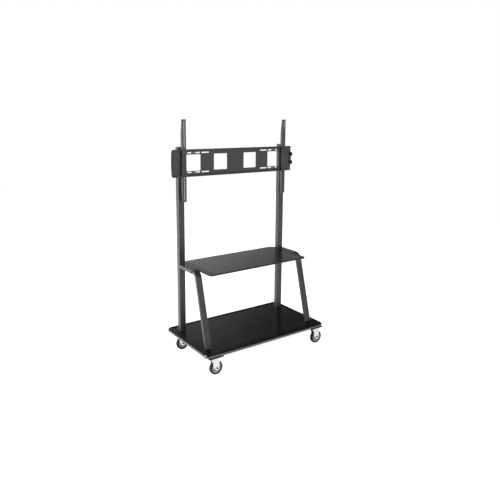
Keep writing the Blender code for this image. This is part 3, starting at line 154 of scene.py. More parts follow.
world = bpy.data.worlds.new("studio")
bpy.context.scene.world = world
tree = emptied(world)
direction = new_node(tree, "ShaderNodeTexCoord").outputs["Generated"]
height = new_node(tree, "ShaderNodeSeparateXYZ", {"Vector": direction}).outputs["Z"]
to_right = (math.cos(EDGE_AZIMUTH), -math.sin(EDGE_AZIMUTH), 0)
sideways = new_node(tree, "ShaderNodeVectorMath", {0: direction, 1: to_right}, operation="DOT_PRODUCT")
rightness = new_node(tree, "ShaderNodeMapRange", {
    "Value": sideways.outputs["Value"], "From Min": EDGE_START, "From Max": EDGE_END})
wall = new_node(tree, "ShaderNodeMix", {
    "Factor": rightness.outputs["Result"], "A": wall_levels(tree, height, LEFT_WALL),
    "B": wall_levels(tree, height, RIGHT_WALL)}, data_type="RGBA")

# %% The room: white to the camera, walls in a mirror, dim and even as light
ROOM_LIGHT = 0.45
path = new_node(tree, "ShaderNodeLightPath")
white = new_node(tree, "ShaderNodeBackground", {"Color": grey(1), "Strength": 1})
walls = new_node(tree, "ShaderNodeBackground", {"Color": wall.outputs["Result"], "Strength": 1})
dim = new_node(tree, "ShaderNodeBackground", {"Color": grey(1), "Strength": ROOM_LIGHT})
is_mirrored = either(tree, path.outputs["Is Glossy Ray"], path.outputs["Is Transmission Ray"])
mirrored = new_node(tree, "ShaderNodeMixShader", {"Fac": is_mirrored, 1: dim.outputs[0], 2: walls.outputs[0]})
seen = new_node(tree, "ShaderNodeMixShader", {
    "Fac": path.outputs["Is Camera Ray"], 1: mirrored.outputs[0], 2: white.outputs[0]})
new_node(tree, "ShaderNodeOutputWorld", {"Surface": seen.outputs[0]})

# %% The floor
FLOOR_SIDE = 14.0
FLOOR_GLOW = 0.84
FLOOR_PAINT = 0.80
half = FLOOR_SIDE / 2
corners = [(-half, -half, 0), (half, -half, 0), (half, half, 0), (-half, half, 0)]
floor_mesh = bpy.data.meshes.new("floor")
floor_mesh.from_pydata(corners, [], [(0, 1, 2, 3)])
floor = bpy.data.objects.new("floor", floor_mesh)
bpy.context.scene.collection.objects.link(floor)
paint = bpy.data.materials.new("floor_paint")
tree = emptied(paint)
path = new_node(tree, "ShaderNodeLightPath")
rays = [path.outputs[f"Is {kind} Ray"] for kind in ("Camera", "Glossy", "Transmission")]
matt = new_node(tree, "ShaderNodeBsdfDiffuse", {"Color": grey(FLOOR_PAINT)})
glow = new_node(tree, "ShaderNodeEmission", {"Color": grey(FLOOR_GLOW), "Strength": either(tree, *rays)})
both = new_node(tree, "ShaderNodeAddShader", {0: matt.outputs[0], 1: glow.outputs[0]})
new_node(tree, "ShaderNodeOutputMaterial", {"Surface": both.outputs[0]})
floor_mesh.materials.append(paint)

# %% The lamps
STAND_MIDDLE = Vector((0, 0, 0.95))


def soft_lamp(name, place, width, height, watts):
    """A rectangular lamp that faces the middle of the stand."""
    data = bpy.data.lights.new(name, "AREA")
    data.shape = "RECTANGLE"
    data.size = width
    data.size_y = height
    data.energy = watts
    lamp = bpy.data.objects.new(name, data)
    bpy.context.scene.collection.objects.link(lamp)
    facing = (STAND_MIDDLE - Vector(place)).to_track_quat("-Z", "Y")
    lamp.matrix_world = Matrix.Translation(place) @ facing.to_matrix().to_4x4()


soft_lamp("left_lamp", place=(-4.0, 1.5, 1.8), width=3.0, height=3.0, watts=260)
soft_lamp("front_lamp", place=(0.5, -4.5, 2.6), width=3.0, height=2.0, watts=60)
bpy.context.scene.view_settings.view_transform = "Standard"
print("lamps:", [lamp.name for lamp in bpy.data.lights])

# %% [markdown]
# ## Finishes
# Most metal on the stand is powder coated: a baked plastic film, satin black, with a very fine orange
# peel that breaks its reflections. A noise texture at the scale of a millimetre, fed into a bump, makes the
# peel, and a larger one varies the gloss a little, as handling and dust do. Sizes are in metres, so a
# noise scale of 900 gives grains a little over a millimetre wide.

# %% A finish maker
NOISE_LOW = 0.3
NOISE_HIGH = 0.7
GLOSS_NOISE = (7.0, 3.0)
TINT_NOISE = (11.0, 4.0)
GRAIN_DETAIL = 2.0
GRAIN_STRENGTH = 0.3
NO_STRETCH = (1, 1, 1)


def noise_field(tree, scale, detail, stretch=NO_STRETCH):
    """A noise that lies in the object's own space, and can be stretched along an axis."""
    place = new_node(tree, "ShaderNodeTexCoord").outputs["Object"]
    mapped = new_node(tree, "ShaderNodeMapping", {"Vector": place, "Scale": stretch}).outputs["Vector"]
    noise = new_node(tree, "ShaderNodeTexNoise", {"Vector": mapped, "Scale": scale, "Detail": detail})
    return noise.outputs["Fac"]


def ranged(tree, value, low, high):
    """Map a noise to a range."""
    mapper = new_node(tree, "ShaderNodeMapRange", {
        "Value": value, "From Min": NOISE_LOW, "From Max": NOISE_HIGH, "To Min": low, "To Max": high})
    return mapper.outputs["Result"]


def finish(name, dark, light, roughness, spread, grain, depth, metallic=0.0, gloss_level=0.5,
           stretch=NO_STRETCH):
    """A finish with a fine grain, slightly uneven gloss and a colour that wanders between two near shades."""
    material = bpy.data.materials.new(name)
    material.use_nodes = True
    tree = material.node_tree
    surface = tree.nodes["Principled BSDF"].inputs
    for socket, value in (("Base Color", (*dark, 1)), ("Roughness", roughness), ("Metallic", metallic),
                          ("Specular IOR Level", gloss_level)):
        surface[socket].default_value = value
    gloss = ranged(tree, noise_field(tree, *GLOSS_NOISE), roughness - spread, roughness + spread)
    wander = ranged(tree, noise_field(tree, *TINT_NOISE), 0, 1)
    tint = new_node(tree, "ShaderNodeMix", {"Factor": wander, "A": (*dark, 1), "B": (*light, 1)},
                    data_type="RGBA")
    grains = noise_field(tree, grain, GRAIN_DETAIL, stretch)
    bump = new_node(tree, "ShaderNodeBump", {"Height": grains, "Distance": depth, "Strength": GRAIN_STRENGTH})
    tree.links.new(gloss, surface["Roughness"])
    tree.links.new(tint.outputs["Result"], surface["Base Color"])
    tree.links.new(bump.outputs["Normal"], surface["Normal"])
    return material


# %% The finishes, one for each kind of surface
FINISH_SETTINGS = {
    "powder_coat": dict(dark=(0.026, 0.026, 0.028), light=(0.034, 0.034, 0.036), roughness=0.38, spread=0.03,
                        grain=900, depth=0.00008),
    "shelf_coat": dict(dark=(0.011, 0.011, 0.012), light=(0.014, 0.014, 0.015), roughness=0.24, spread=0.03,
                       grain=900, depth=0.00004, gloss_level=0.40),
    "deck_coat": dict(dark=(0.006, 0.006, 0.007), light=(0.008, 0.008, 0.009), roughness=0.20, spread=0.03,
                      grain=700, depth=0.00003),
    "edge_plastic": dict(dark=(0.006, 0.006, 0.007), light=(0.008, 0.008, 0.009), roughness=0.18, spread=0.03,
                         grain=500, depth=0.00002, gloss_level=0.9),
    "black_plastic": dict(dark=(0.010, 0.010, 0.011), light=(0.015, 0.015, 0.016), roughness=0.50,
                          spread=0.05, grain=400, depth=0.00010, gloss_level=0.35),
    "tyre_rubber": dict(dark=(0.012, 0.012, 0.012), light=(0.022, 0.022, 0.021), roughness=0.72, spread=0.06,
                        grain=600, depth=0.00012, gloss_level=0.25),
    "hub_plastic": dict(dark=(0.34, 0.35, 0.36), light=(0.40, 0.41, 0.42), roughness=0.42, spread=0.05,
                        grain=500, depth=0.00005),
    "zinc_plate": dict(dark=(0.54, 0.55, 0.56), light=(0.62, 0.63, 0.64), roughness=0.30, spread=0.05,
                       grain=300, depth=0.00004, metallic=1.0, stretch=(1, 1, 0.15)),
    "dark_bolt": dict(dark=(0.020, 0.020, 0.021), light=(0.030, 0.030, 0.032), roughness=0.38, spread=0.05,
                      grain=1200, depth=0.00004),
}
FINISHES = {name: finish(name, **settings) for name, settings in FINISH_SETTINGS.items()}
print("finishes:", ", ".join(FINISHES))

# %% [markdown]
# ## Tools for sheet metal, tubes and turned pieces
# Nearly all of this stand is cut from flat sheet or tube, so nearly all of its shapes are flat outlines with
# a thickness. A 2D curve fills such an outline, holes included, and its extrusion gives the thickness.
# Bends are arcs in the outline. Booleans cut what the workshop cuts, and a narrow bevel breaks each
# sharp edge, because an edge that catches no light at all gives a model away.


# %% Outlines
def rounded(corners, steps=6):
    """Turn corners (u, v, radius) into an outline whose corners are arcs."""
    outline = []
    for index, (u, v, radius) in enumerate(corners):
        corner = Vector((u, v))
        if radius <= 0:
            outline.append(corner)
            continue
        to_last = (Vector(corners[index - 1][:2]) - corner).normalized()
        to_next = (Vector(corners[(index + 1) % len(corners)][:2]) - corner).normalized()
        half_angle = to_last.angle(to_next) / 2
        centre = corner + (to_last + to_next).normalized() * radius / math.sin(half_angle)
        start = corner + to_last * radius / math.tan(half_angle) - centre
        sweep = math.pi - 2 * half_angle
        turn = 1 if to_last.cross(to_next) < 0 else -1
        for step in range(steps + 1):
            outline.append(centre + Matrix.Rotation(turn * sweep * step / steps, 2) @ start)
    return outline


def rectangle(low, high, radius=0.0, steps=6):
    """A rectangle between two corners, with arcs at its corners."""
    return rounded([(low[0], low[1], radius), (high[0], low[1], radius),
                    (high[0], high[1], radius), (low[0], high[1], radius)], steps)


def inset_rectangle(low, high, inset, radius, steps=6):
    """A rectangle drawn in by an inset, with arcs at its corners."""
    return rectangle((low[0] + inset, low[1] + inset), (high[0] - inset, high[1] - inset), radius, steps)


def slot(u, v, width, height, steps=6):
    """A slot with round ends, whose arcs take a hair less than half its width."""
    radius = min(width, height) * 0.4999
    return rectangle((u - width / 2, v - height / 2), (u + width / 2, v + height / 2), radius, steps)


def circle(u, v, radius, steps=24):
    """A circle, with a point at its lowest place."""
    outline = []
    for step in range(steps):
        angle = math.tau * step / steps - math.pi / 2
        outline.append(Vector((u + radius * math.cos(angle), v + radius * math.sin(angle))))
    return outline


# %% Solids from outlines
def add_piece(name, mesh):
    """Put a mesh into the scene."""
    piece = bpy.data.objects.new(name, mesh)
    bpy.context.scene.collection.objects.link(piece)
    return piece


def bake(piece):
    """Keep what the modifiers make, and drop the modifiers."""
    bpy.context.view_layer.update()
    evaluated = piece.evaluated_get(bpy.context.evaluated_depsgraph_get())
    mesh = bpy.data.meshes.new_from_object(evaluated)
    old = piece.data
    piece.modifiers.clear()
    piece.data = mesh
    if isinstance(old, bpy.types.Mesh):
        bpy.data.meshes.remove(old)
    return piece


DRAWN_FROM = {
    "top": Matrix.Identity(4),
    "front": Matrix.Rotation(math.radians(90), 4, "X"),
    "side": Matrix(((0, 0, 1, 0), (1, 0, 0, 0), (0, 1, 0, 0), (0, 0, 0, 1))),
}
THROUGH = {"top": Vector((0, 0, 1)), "front": Vector((0, 1, 0)), "side": Vector((1, 0, 0))}


def solid(name, outlines, low, high, view):
    """Fill outlines drawn from the top (x, y), the front (x, z) or the side (y, z), between two places."""
    curve = bpy.data.curves.new(name, "CURVE")
    curve.dimensions = "2D"
    curve.fill_mode = "BOTH"
    curve.extrude = (high - low) / 2
    for outline in outlines:
        spline = curve.splines.new("POLY")
        spline.points.add(len(outline) - 1)
        for point, place in zip(spline.points, outline):
            point.co = (place[0], place[1], 0, 1)
        spline.use_cyclic_u = True
    holder = add_piece(name, curve)
    bpy.context.view_layer.update()
    mesh = bpy.data.meshes.new_from_object(holder.evaluated_get(bpy.context.evaluated_depsgraph_get()))
    bpy.data.objects.remove(holder, do_unlink=True)
    shape = bmesh.new()
    shape.from_mesh(mesh)
    bmesh.ops.remove_doubles(shape, verts=shape.verts, dist=1e-6)
    shape.transform(Matrix.Translation(THROUGH[view] * (low + high) / 2) @ DRAWN_FROM[view])
    bmesh.ops.recalc_face_normals(shape, faces=shape.faces)
    shape.to_mesh(mesh)
    shape.free()
    return add_piece(name, mesh)


def block(name, low, high):
    """A plain box, for cutting."""
    return solid(name, [rectangle((low[0], low[1]), (high[0], high[1]))], low[2], high[2], "top")


# %% Turned pieces
def turned(name, profile, steps, matrix=Matrix.Identity(4), closed=False):
    """Turn a profile of (radius, height) round the upright axis, then place it."""
    shape = bmesh.new()
    rings = []
    for step in range(steps):
        angle = math.tau * step / steps
        rings.append([shape.verts.new((radius * math.cos(angle), radius * math.sin(angle), height))
                      for radius, height in profile])
    count = len(profile) if closed else len(profile) - 1
    for step in range(steps):
        ring = rings[step]
        following = rings[(step + 1) % steps]
        for index in range(count):
            after = (index + 1) % len(profile)
            shape.faces.new((ring[index], following[index], following[after], ring[after]))
    bmesh.ops.remove_doubles(shape, verts=shape.verts, dist=1e-7)
    bmesh.ops.recalc_face_normals(shape, faces=shape.faces)
    shape.transform(matrix)
    mesh = bpy.data.meshes.new(name)
    shape.to_mesh(mesh)
    shape.free()
    return add_piece(name, mesh)


def fillet(corner_radius, corner_height, size, start, end, steps=5):
    """Points of an arc in a profile, round a centre, from one angle in degrees to another."""
    points = []
    for step in range(steps + 1):
        angle = math.radians(start + (end - start) * step / steps)
        points.append((corner_radius + size * math.cos(angle), corner_height + size * math.sin(angle)))
    return points


# %% Cutting, joining and breaking edges
OVERRUN = 0.01
FLAT_ANGLE = 0.005
SHARP_ANGLE = math.radians(50)


def combine(piece, tools, operation):
    """Cut tools from a piece, weld them to it, or keep only what they share."""
    for tool in tools:
        modifier = piece.modifiers.new("combine", "BOOLEAN")
        modifier.operation = operation
        modifier.solver = "EXACT"
        modifier.object = tool
        bake(piece)
        bpy.data.objects.remove(tool, do_unlink=True)
    return piece


def carve(piece, *tools):
    """Cut the tools' shapes away."""
    return combine(piece, tools, "DIFFERENCE")


def weld(piece, *tools):
    """Make the tools' shapes part of the piece."""
    return combine(piece, tools, "UNION")


def keep_common(piece, tool):
    """Keep only what the piece shares with the tool."""
    return combine(piece, [tool], "INTERSECT")


def break_edges(piece, width, steps=2, sharper_than=40):
    """A narrow bevel along each sharp edge, once the flat faces are single faces."""
    shape = bmesh.new()
    shape.from_mesh(piece.data)
    bmesh.ops.dissolve_limit(shape, angle_limit=FLAT_ANGLE, verts=shape.verts, edges=shape.edges)
    shape.to_mesh(piece.data)
    shape.free()
    bevel = piece.modifiers.new("edges", "BEVEL")
    bevel.width = width
    bevel.segments = steps
    bevel.limit_method = "ANGLE"
    bevel.angle_limit = math.radians(sharper_than)
    bevel.use_clamp_overlap = True
    return bake(piece)


def shade(piece, finish_name):
    """Smooth a finished piece, keep its flat faces flat, and give it its finish."""
    piece.data.shade_smooth()
    piece.data.set_sharp_from_angle(angle=SHARP_ANGLE)
    weighted = piece.modifiers.new("flat faces stay flat", "WEIGHTED_NORMAL")
    weighted.keep_sharp = True
    bake(piece)
    piece.data.materials.clear()
    piece.data.materials.append(FINISHES[finish_name])


def dress(piece, finish_name, body, *nodes):
    """Shade a finished piece and let it ride on its body in place of its nodes."""
    shade(piece, finish_name)
    place_on(piece, finish_name, body, *nodes)


def place_on(piece, finish_name, body, *nodes):
    """Let a dressed piece ride on its body in place of its nodes."""
    if nodes:
        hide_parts(*nodes)
    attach(piece, body)


# %% [markdown]
# ## Columns and their caps
# Each column is a rectangular steel tube with small round corners, and a plastic cap plugs its open top. The
# tube's cross-section is drawn once from above, as an outer and an inner outline, and extruded to the
# column's height. Six points to each corner keep the highlight along the edge smooth.

# %% Make the columns
TUBE_WALL = 0.002
TUBE_CORNER = 0.003
BORE_CORNER = 0.001
for side, sign in SIDES:
    low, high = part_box(f"column_{side}")
    outer = rectangle(low, high, TUBE_CORNER)
    inner = inset_rectangle(low, high, TUBE_WALL, BORE_CORNER)
    column = solid(f"dressed_column_{side}", [outer, inner], low.z, high.z, "top")
    dress(column, "powder_coat", "stand", f"column_{side}")
    print("column", side, "height in mm:", round((high.z - low.z) * 1000))

# %% Make the caps
CAP_LID = 0.003
CAP_PLAY = 0.0003
CAP_EDGE = 0.0012
for side, sign in SIDES:
    low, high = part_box(f"column_cap_{side}")
    lid = solid(f"dressed_column_cap_{side}", [rectangle(low, high, TUBE_CORNER)],
                high.z - CAP_LID, high.z, "top")
    break_edges(lid, CAP_EDGE, 3)
    plug = solid("plug", [inset_rectangle(low, high, TUBE_WALL + CAP_PLAY, BORE_CORNER)],
                 low.z, high.z - CAP_LID / 2, "top")
    dress(weld(lid, plug), "black_plastic", "stand", f"column_cap_{side}")

# %% [markdown]
# ## Bent legs
# Each leg is one flat oval-cornered tube, bent once on a former: it leans back as it rises from the deck and
# then runs level to its column. Seen from the side it is a strip with one bend, so the side view is drawn
# and extruded across, and a bevel rounds the long edges as the rolls of a tube mill do. The tube is
# made a little too long and then trimmed at the deck and at the column, as in the workshop.

# %% Make the legs
LEG_THICKNESS = 0.025
LEG_SLOPE = 0.269
LEG_BEND = 0.060
LEG_SPARE = 0.010
LEG_EDGE = 0.0035
LEG_TRIM = 0.05
lean = math.atan(LEG_SLOPE)
for side, sign in SIDES:
    low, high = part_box(f"leg_{side}")
    foot_depth = LEG_THICKNESS / math.cos(lean)
    floor_z = low.z - LEG_SPARE
    run_z = high.z - LEG_THICKNESS

    def face(z, offset=0.0):
        return low.y + offset + LEG_SLOPE * (z - low.z)

    strip = rounded([
        (face(floor_z), floor_z, 0),
        (face(floor_z, foot_depth), floor_z, 0),
        (face(run_z, foot_depth), run_z, LEG_BEND - LEG_THICKNESS),
        (high.y + LEG_SPARE, run_z, 0),
        (high.y + LEG_SPARE, high.z, 0),
        (face(high.z), high.z, LEG_BEND),
    ], 20)
    leg = solid(f"dressed_leg_{side}", [strip], low.x, high.x, "side")
    break_edges(leg, LEG_EDGE, 5, sharper_than=60)
    under = block("under", (low.x - OVERRUN, low.y - 2 * LEG_TRIM, low.z - LEG_TRIM),
                  (high.x + OVERRUN, low.y + 2 * LEG_TRIM, low.z))
    behind = block("behind", (low.x - OVERRUN, high.y, run_z - 2 * OVERRUN),
                   (high.x + OVERRUN, high.y + LEG_TRIM, high.z + 2 * OVERRUN))
    carve(leg, under, behind)
    dress(leg, "powder_coat", "stand", f"leg_{side}")
    print("leg", side, "faces:", len(leg.data.polygons))

# %% [markdown]
# ## Leg channels and their screws
# A channel on each column, open below, lies over the level part of its leg, and screws through its outer side
# hold the leg. The channel's top is level with the shelf and ends where the leg bends down, which leaves a
# small dark step there. It is a U of sheet with a back plate, so the U is drawn from the front and
# extruded forwards. A screw has a low round head with a hexagonal recess: turned, then cut.


# %% A screw maker
SCREW_HEAD = 0.006
SCREW_SHANK = 0.003
SCREW_RECESS = 0.004


def screw(name, head_height, reach, matrix):
    """A pan-head screw with a hexagonal recess; its head stands up from height zero."""
    dome = head_height * 0.45
    profile = [(0, head_height), (SCREW_HEAD - dome, head_height)]
    profile += fillet(SCREW_HEAD - dome, head_height - dome, dome, 90, 0)[1:]
    profile += [(SCREW_HEAD, 0), (SCREW_SHANK, 0), (SCREW_SHANK, -reach), (0, -reach)]
    piece = turned(name, profile, 32)
    corner = SCREW_RECESS / math.sqrt(3)
    carve(piece, solid("recess", [circle(0, 0, corner, 6)], head_height * 0.35, head_height * 2, "top"))
    piece.data.transform(matrix)
    return piece


# %% Make the channels
SOCKET_WALL = 0.002
SOCKET_BEND = 0.0032
SOCKET_INNER_BEND = 0.0012
SOCKET_HOLE = 0.0034
SOCKET_HOLE_REACH = (0.525, 0.535)
BACK_INSET = 0.0004
SEAM = 0.0001
SHEET_EDGE = 0.0004
FRONT_SCREW_SETBACK = 0.011
for side, sign in SIDES:
    low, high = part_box(f"leg_socket_{side}")
    section = rounded([
        (low.x, low.z, 0), (low.x, high.z, SOCKET_BEND), (high.x, high.z, SOCKET_BEND), (high.x, low.z, 0),
        (high.x - SOCKET_WALL, low.z, 0), (high.x - SOCKET_WALL, high.z - SOCKET_WALL, SOCKET_INNER_BEND),
        (low.x + SOCKET_WALL, high.z - SOCKET_WALL, SOCKET_INNER_BEND), (low.x + SOCKET_WALL, low.z, 0)])
    bracket = solid(f"dressed_leg_socket_{side}", [section], low.y, high.y, "front")
    weld(bracket, block("back", (low.x + BACK_INSET, high.y - SOCKET_WALL, low.z + SEAM),
                        (high.x - BACK_INSET, high.y - SEAM, high.z - SOCKET_WALL / 2)))
    bolt_low, bolt_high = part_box(f"socket_bolt_{side}")
    middle = (bolt_low + bolt_high) / 2
    holes = [circle(y, middle.z, SOCKET_HOLE) for y in (middle.y, low.y + FRONT_SCREW_SETBACK)]
    carve(bracket, solid("holes", holes, *sorted(sign * x for x in SOCKET_HOLE_REACH), "side"))
    break_edges(bracket, SHEET_EDGE)
    dress(bracket, "powder_coat", "stand", f"leg_socket_{side}")

# %% Make their screws
SOCKET_SCREW_HEAD = 0.003
SOCKET_SCREW_REACH = 0.012
FRONT_SCREW_REACH = 0.0018
for side, sign in SIDES:
    low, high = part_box(f"socket_bolt_{side}")
    middle = (low + high) / 2
    head_x = (high.x if sign > 0 else low.x) - sign * SOCKET_SCREW_HEAD
    turn = Matrix.Rotation(math.radians(90) * sign, 4, "Y")
    place = Matrix.Translation((head_x, middle.y, middle.z)) @ turn
    bolt = screw(f"dressed_socket_bolt_{side}", SOCKET_SCREW_HEAD, SOCKET_SCREW_REACH, place)
    dress(bolt, "dark_bolt", "stand", f"socket_bolt_{side}")
    front_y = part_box(f"leg_socket_{side}")[0].y + FRONT_SCREW_SETBACK
    place = Matrix.Translation((head_x, front_y, middle.z)) @ turn
    bolt = screw(f"dressed_socket_bolt_front_{side}", SOCKET_SCREW_HEAD, FRONT_SCREW_REACH, place)
    dress(bolt, "dark_bolt", "stand")

# %% [markdown]
# ## Shelf
# The shelf is one sheet whose edge is turned down all round, like a shallow tray upside down. It fills the
# space between the two channels and reaches back between the columns, with tight corners in front and wide
# ones at the back. A turned-down edge has a round bend, so the sheet is built as rings: the same outline
# again and again, drawn in a little more each time and a little higher, which makes the bend, and
# then back down inside for the sheet's thickness. Two creases are pressed along its ends. Their faces
# get the matt black finish as painted shade, so that the creases show as dark lines.

# %% The shelf's outline at any inset
low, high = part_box("shelf")
SHELF_FRONT_CORNER = 0.024
SHELF_REAR_CORNER = 0.060
SHELF_SHEET = 0.002
SHELF_BEND = 0.0028
SHELF_EDGE = 0.0003


def shelf_ring(inset):
    """The shelf from above, drawn in by an inset."""
    front_corner = SHELF_FRONT_CORNER - inset
    rear_corner = SHELF_REAR_CORNER - inset
    left, right_end = low.x + inset, high.x - inset
    front, rear = low.y + inset, high.y - inset
    return rounded([(left, front, front_corner), (right_end, front, front_corner),
                    (right_end, rear, rear_corner), (left, rear, rear_corner)], 14)


# %% Build the shelf from rings
def stack(name, rings, round_again=False):
    """Join rings (outline, height) of equal length; close the ends, or join the last ring to the first."""
    shape = bmesh.new()
    loops = [[shape.verts.new((point[0], point[1], height)) for point in outline]
             for outline, height in rings]
    for lower, upper in zip(loops, loops[1:] + (loops[:1] if round_again else [])):
        for index in range(len(lower)):
            after = (index + 1) % len(lower)
            shape.faces.new((lower[index], lower[after], upper[after], upper[index]))
    if not round_again:
        shape.faces.new(loops[0])
        shape.faces.new(reversed(loops[-1]))
    bmesh.ops.recalc_face_normals(shape, faces=shape.faces)
    mesh = bpy.data.meshes.new(name)
    shape.to_mesh(mesh)
    shape.free()
    return add_piece(name, mesh)


def bend_rings(ring, top, radius, start_inset, steps=6):
    """Rings over a round bend: from the flat top, outwards and down."""
    rings = []
    for step in range(steps + 1):
        angle = math.radians(90) * step / steps
        outline = ring(start_inset + radius * (1 - math.sin(angle)))
        rings.append((outline, top - radius * (1 - math.cos(angle))))
    return rings


rings = bend_rings(shelf_ring, high.z, SHELF_BEND, 0)
rings += [(shelf_ring(0), low.z + SHELF_EDGE), (shelf_ring(SHELF_EDGE), low.z)]
rings += [(shelf_ring(SHELF_SHEET - SHELF_EDGE), low.z), (shelf_ring(SHELF_SHEET), low.z + SHELF_EDGE)]
rings += reversed(bend_rings(shelf_ring, high.z - SHELF_SHEET, SHELF_BEND - SHELF_SHEET, SHELF_SHEET, 3))
shelf = stack("dressed_shelf", rings)
print("rings in the shelf:", len(rings))

# %% Press the creases and notch the edge for the rails
CREASE_X = 0.442
CREASE_DEPTH = 0.0017
CREASE_RADIUS = 0.0070
NOTCH_PLAY = 0.001
for side, sign in SIDES:
    crease = circle(sign * CREASE_X, high.z + CREASE_RADIUS - CREASE_DEPTH, CREASE_RADIUS, 96)
    carve(shelf, solid("crease", [crease], low.y - OVERRUN, high.y + OVERRUN, "front"))
for name in ("front", "rear"):
    rail_low, rail_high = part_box(f"shelf_rail_{name}")
    notch = rectangle((rail_low.y - NOTCH_PLAY, low.z - OVERRUN),
                      (rail_high.y + NOTCH_PLAY, high.z - SHELF_SHEET), NOTCH_PLAY)
    carve(shelf, solid("notch", [notch], low.x - OVERRUN, high.x + OVERRUN, "side"))
dress(shelf, "shelf_coat", "stand", "shelf")
# The upward faces in the creases get the matt black finish: painted shade that makes the creases dark lines.
shelf.data.materials.append(FINISHES["black_plastic"])
for face in shelf.data.polygons:
    gets_painted_shade = abs(abs(face.center.x) - CREASE_X) < CREASE_RADIUS and face.normal.z > 0.5
    if gets_painted_shade and high.z - CREASE_DEPTH - SEAM < face.center.z < high.z - SEAM:
        face.material_index = 1
print("faces in the creases:", sum(face.material_index for face in shelf.data.polygons))

# %% Make the shelf's rails
SHELF_RAIL_CORNER = 0.0025
for name in ("front", "rear"):
    low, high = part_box(f"shelf_rail_{name}")
    outer = rectangle(low.yz, high.yz, SHELF_RAIL_CORNER)
    inner = inset_rectangle(low.yz, high.yz, TUBE_WALL, BORE_CORNER)
    tube = solid(f"dressed_shelf_rail_{name}", [outer, inner], low.x, high.x, "side")
    dress(tube, "powder_coat", "stand", f"shelf_rail_{name}")

# %% [markdown]
# ## Wall rail
# The rail that carries the arms is a shallow channel, folded from one sheet: its edges are turned forwards and
# then turned in, which makes a lip for the arms to hook on. Seen from the end it is a single bent line
# with a thickness. That section is drawn with round bends and extruded along the rail. Then the windows,
# the slots and the ends of the flanges are cut, as a laser cuts them before folding.

# %% Fold the rail
low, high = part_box("rail")
RAIL_SHEET = 0.0025
RAIL_LIP = 0.0085
OUTER_BEND = 0.0036
INNER_BEND = 0.0011
web = high.y - RAIL_SHEET
lip = low.y + RAIL_SHEET
section = rounded([
    (high.y, low.z, OUTER_BEND), (high.y, high.z, OUTER_BEND), (low.y, high.z, OUTER_BEND),
    (low.y, high.z - RAIL_LIP, 0), (lip, high.z - RAIL_LIP, 0), (lip, high.z - RAIL_SHEET, INNER_BEND),
    (web, high.z - RAIL_SHEET, INNER_BEND), (web, low.z + RAIL_SHEET, INNER_BEND),
    (lip, low.z + RAIL_SHEET, INNER_BEND), (lip, low.z + RAIL_LIP, 0), (low.y, low.z + RAIL_LIP, 0),
    (low.y, low.z, OUTER_BEND)])
rail = solid("dressed_rail", [section], low.x, high.x, "side")

# %% Cut the rail's windows, slots and ends
WINDOW_PLACES = (0.145, 0.395)
WINDOW_HALF = 0.0625
WINDOW_RISE = (0.044, 0.172)
WINDOW_CORNER = 0.0012
SLOT_ROWS = (0.0335, 0.186)
SLOTS = ((0.2885, 0.071), (0.357, 0.040), (0.432, 0.038))
SLOT_HEIGHT = 0.0095
HOLE_PLACE = 0.393
HOLE_RADIUS = 0.0035
BARE_END = 0.008
END_SLANT = 0.018
RAIL_EDGE = 0.0003
openings = []
for side, sign in SIDES:
    for x in WINDOW_PLACES:
        openings.append(rectangle((sign * x - WINDOW_HALF, low.z + WINDOW_RISE[0]),
                                  (sign * x + WINDOW_HALF, low.z + WINDOW_RISE[1]), WINDOW_CORNER, 3))
    for rise in SLOT_ROWS:
        openings += [slot(sign * x, low.z + rise, length, SLOT_HEIGHT) for x, length in SLOTS]
        openings.append(circle(sign * HOLE_PLACE, low.z + rise, HOLE_RADIUS))
carve(rail, solid("openings", openings, web - OVERRUN, high.y + OVERRUN, "front"))
for side, sign in SIDES:
    inner_x = sign * (high.x - BARE_END)
    outer_x = sign * (high.x + OVERRUN)
    ends = sorted((inner_x, outer_x))
    carve(rail, block("flange_end", (ends[0], low.y - OVERRUN, low.z - OVERRUN),
                      (ends[1], web, high.z + OVERRUN)))
    for edge, inward in ((high.z, -1), (low.z, 1)):
        corner = [(inner_x, edge - inward * OVERRUN), (inner_x, edge),
                  (sign * high.x, edge + inward * END_SLANT), (outer_x, edge + inward * END_SLANT),
                  (outer_x, edge - inward * OVERRUN)]
        carve(rail, solid("corner", [corner], web - OVERRUN, high.y + OVERRUN, "front"))
break_edges(rail, RAIL_EDGE)
dress(rail, "powder_coat", "stand", "rail")
print("openings in the rail:", len(openings))

# %% Make the pads behind the rail and the screws through it
PAD_CORNER = 0.003
PAD_EDGE = 0.0005
RAIL_SCREW_HEAD = 0.0035
for side, sign in SIDES:
    low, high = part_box(f"rail_pad_{side}")
    pad = solid(f"dressed_rail_pad_{side}", [rectangle(low.xz, high.xz, PAD_CORNER)],
                low.y, high.y, "front")
    break_edges(pad, PAD_EDGE)
    dress(pad, "powder_coat", "stand", f"rail_pad_{side}")
    for row in ("low_1", "low_2", "high_1", "high_2"):
        node = f"rail_bolt_{side}_{row}"
        low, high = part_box(node)
        middle = (low + high) / 2
        place = Matrix.Translation((middle.x, low.y + RAIL_SCREW_HEAD, middle.z)) @ DRAWN_FROM["front"]
        bolt = screw(f"dressed_{node}", RAIL_SCREW_HEAD, high.y - low.y - RAIL_SCREW_HEAD, place)
        dress(bolt, "dark_bolt", "stand", node)

# %% [markdown]
# ## End stops
# A moulded stop on each end of the rail keeps the arms from sliding off. It is a flat strip with two square
# fingers that stand forwards. Mouldings never have truly sharp edges, because a mould's corners are
# milled, so the pieces get a wider bevel than sheet metal does.

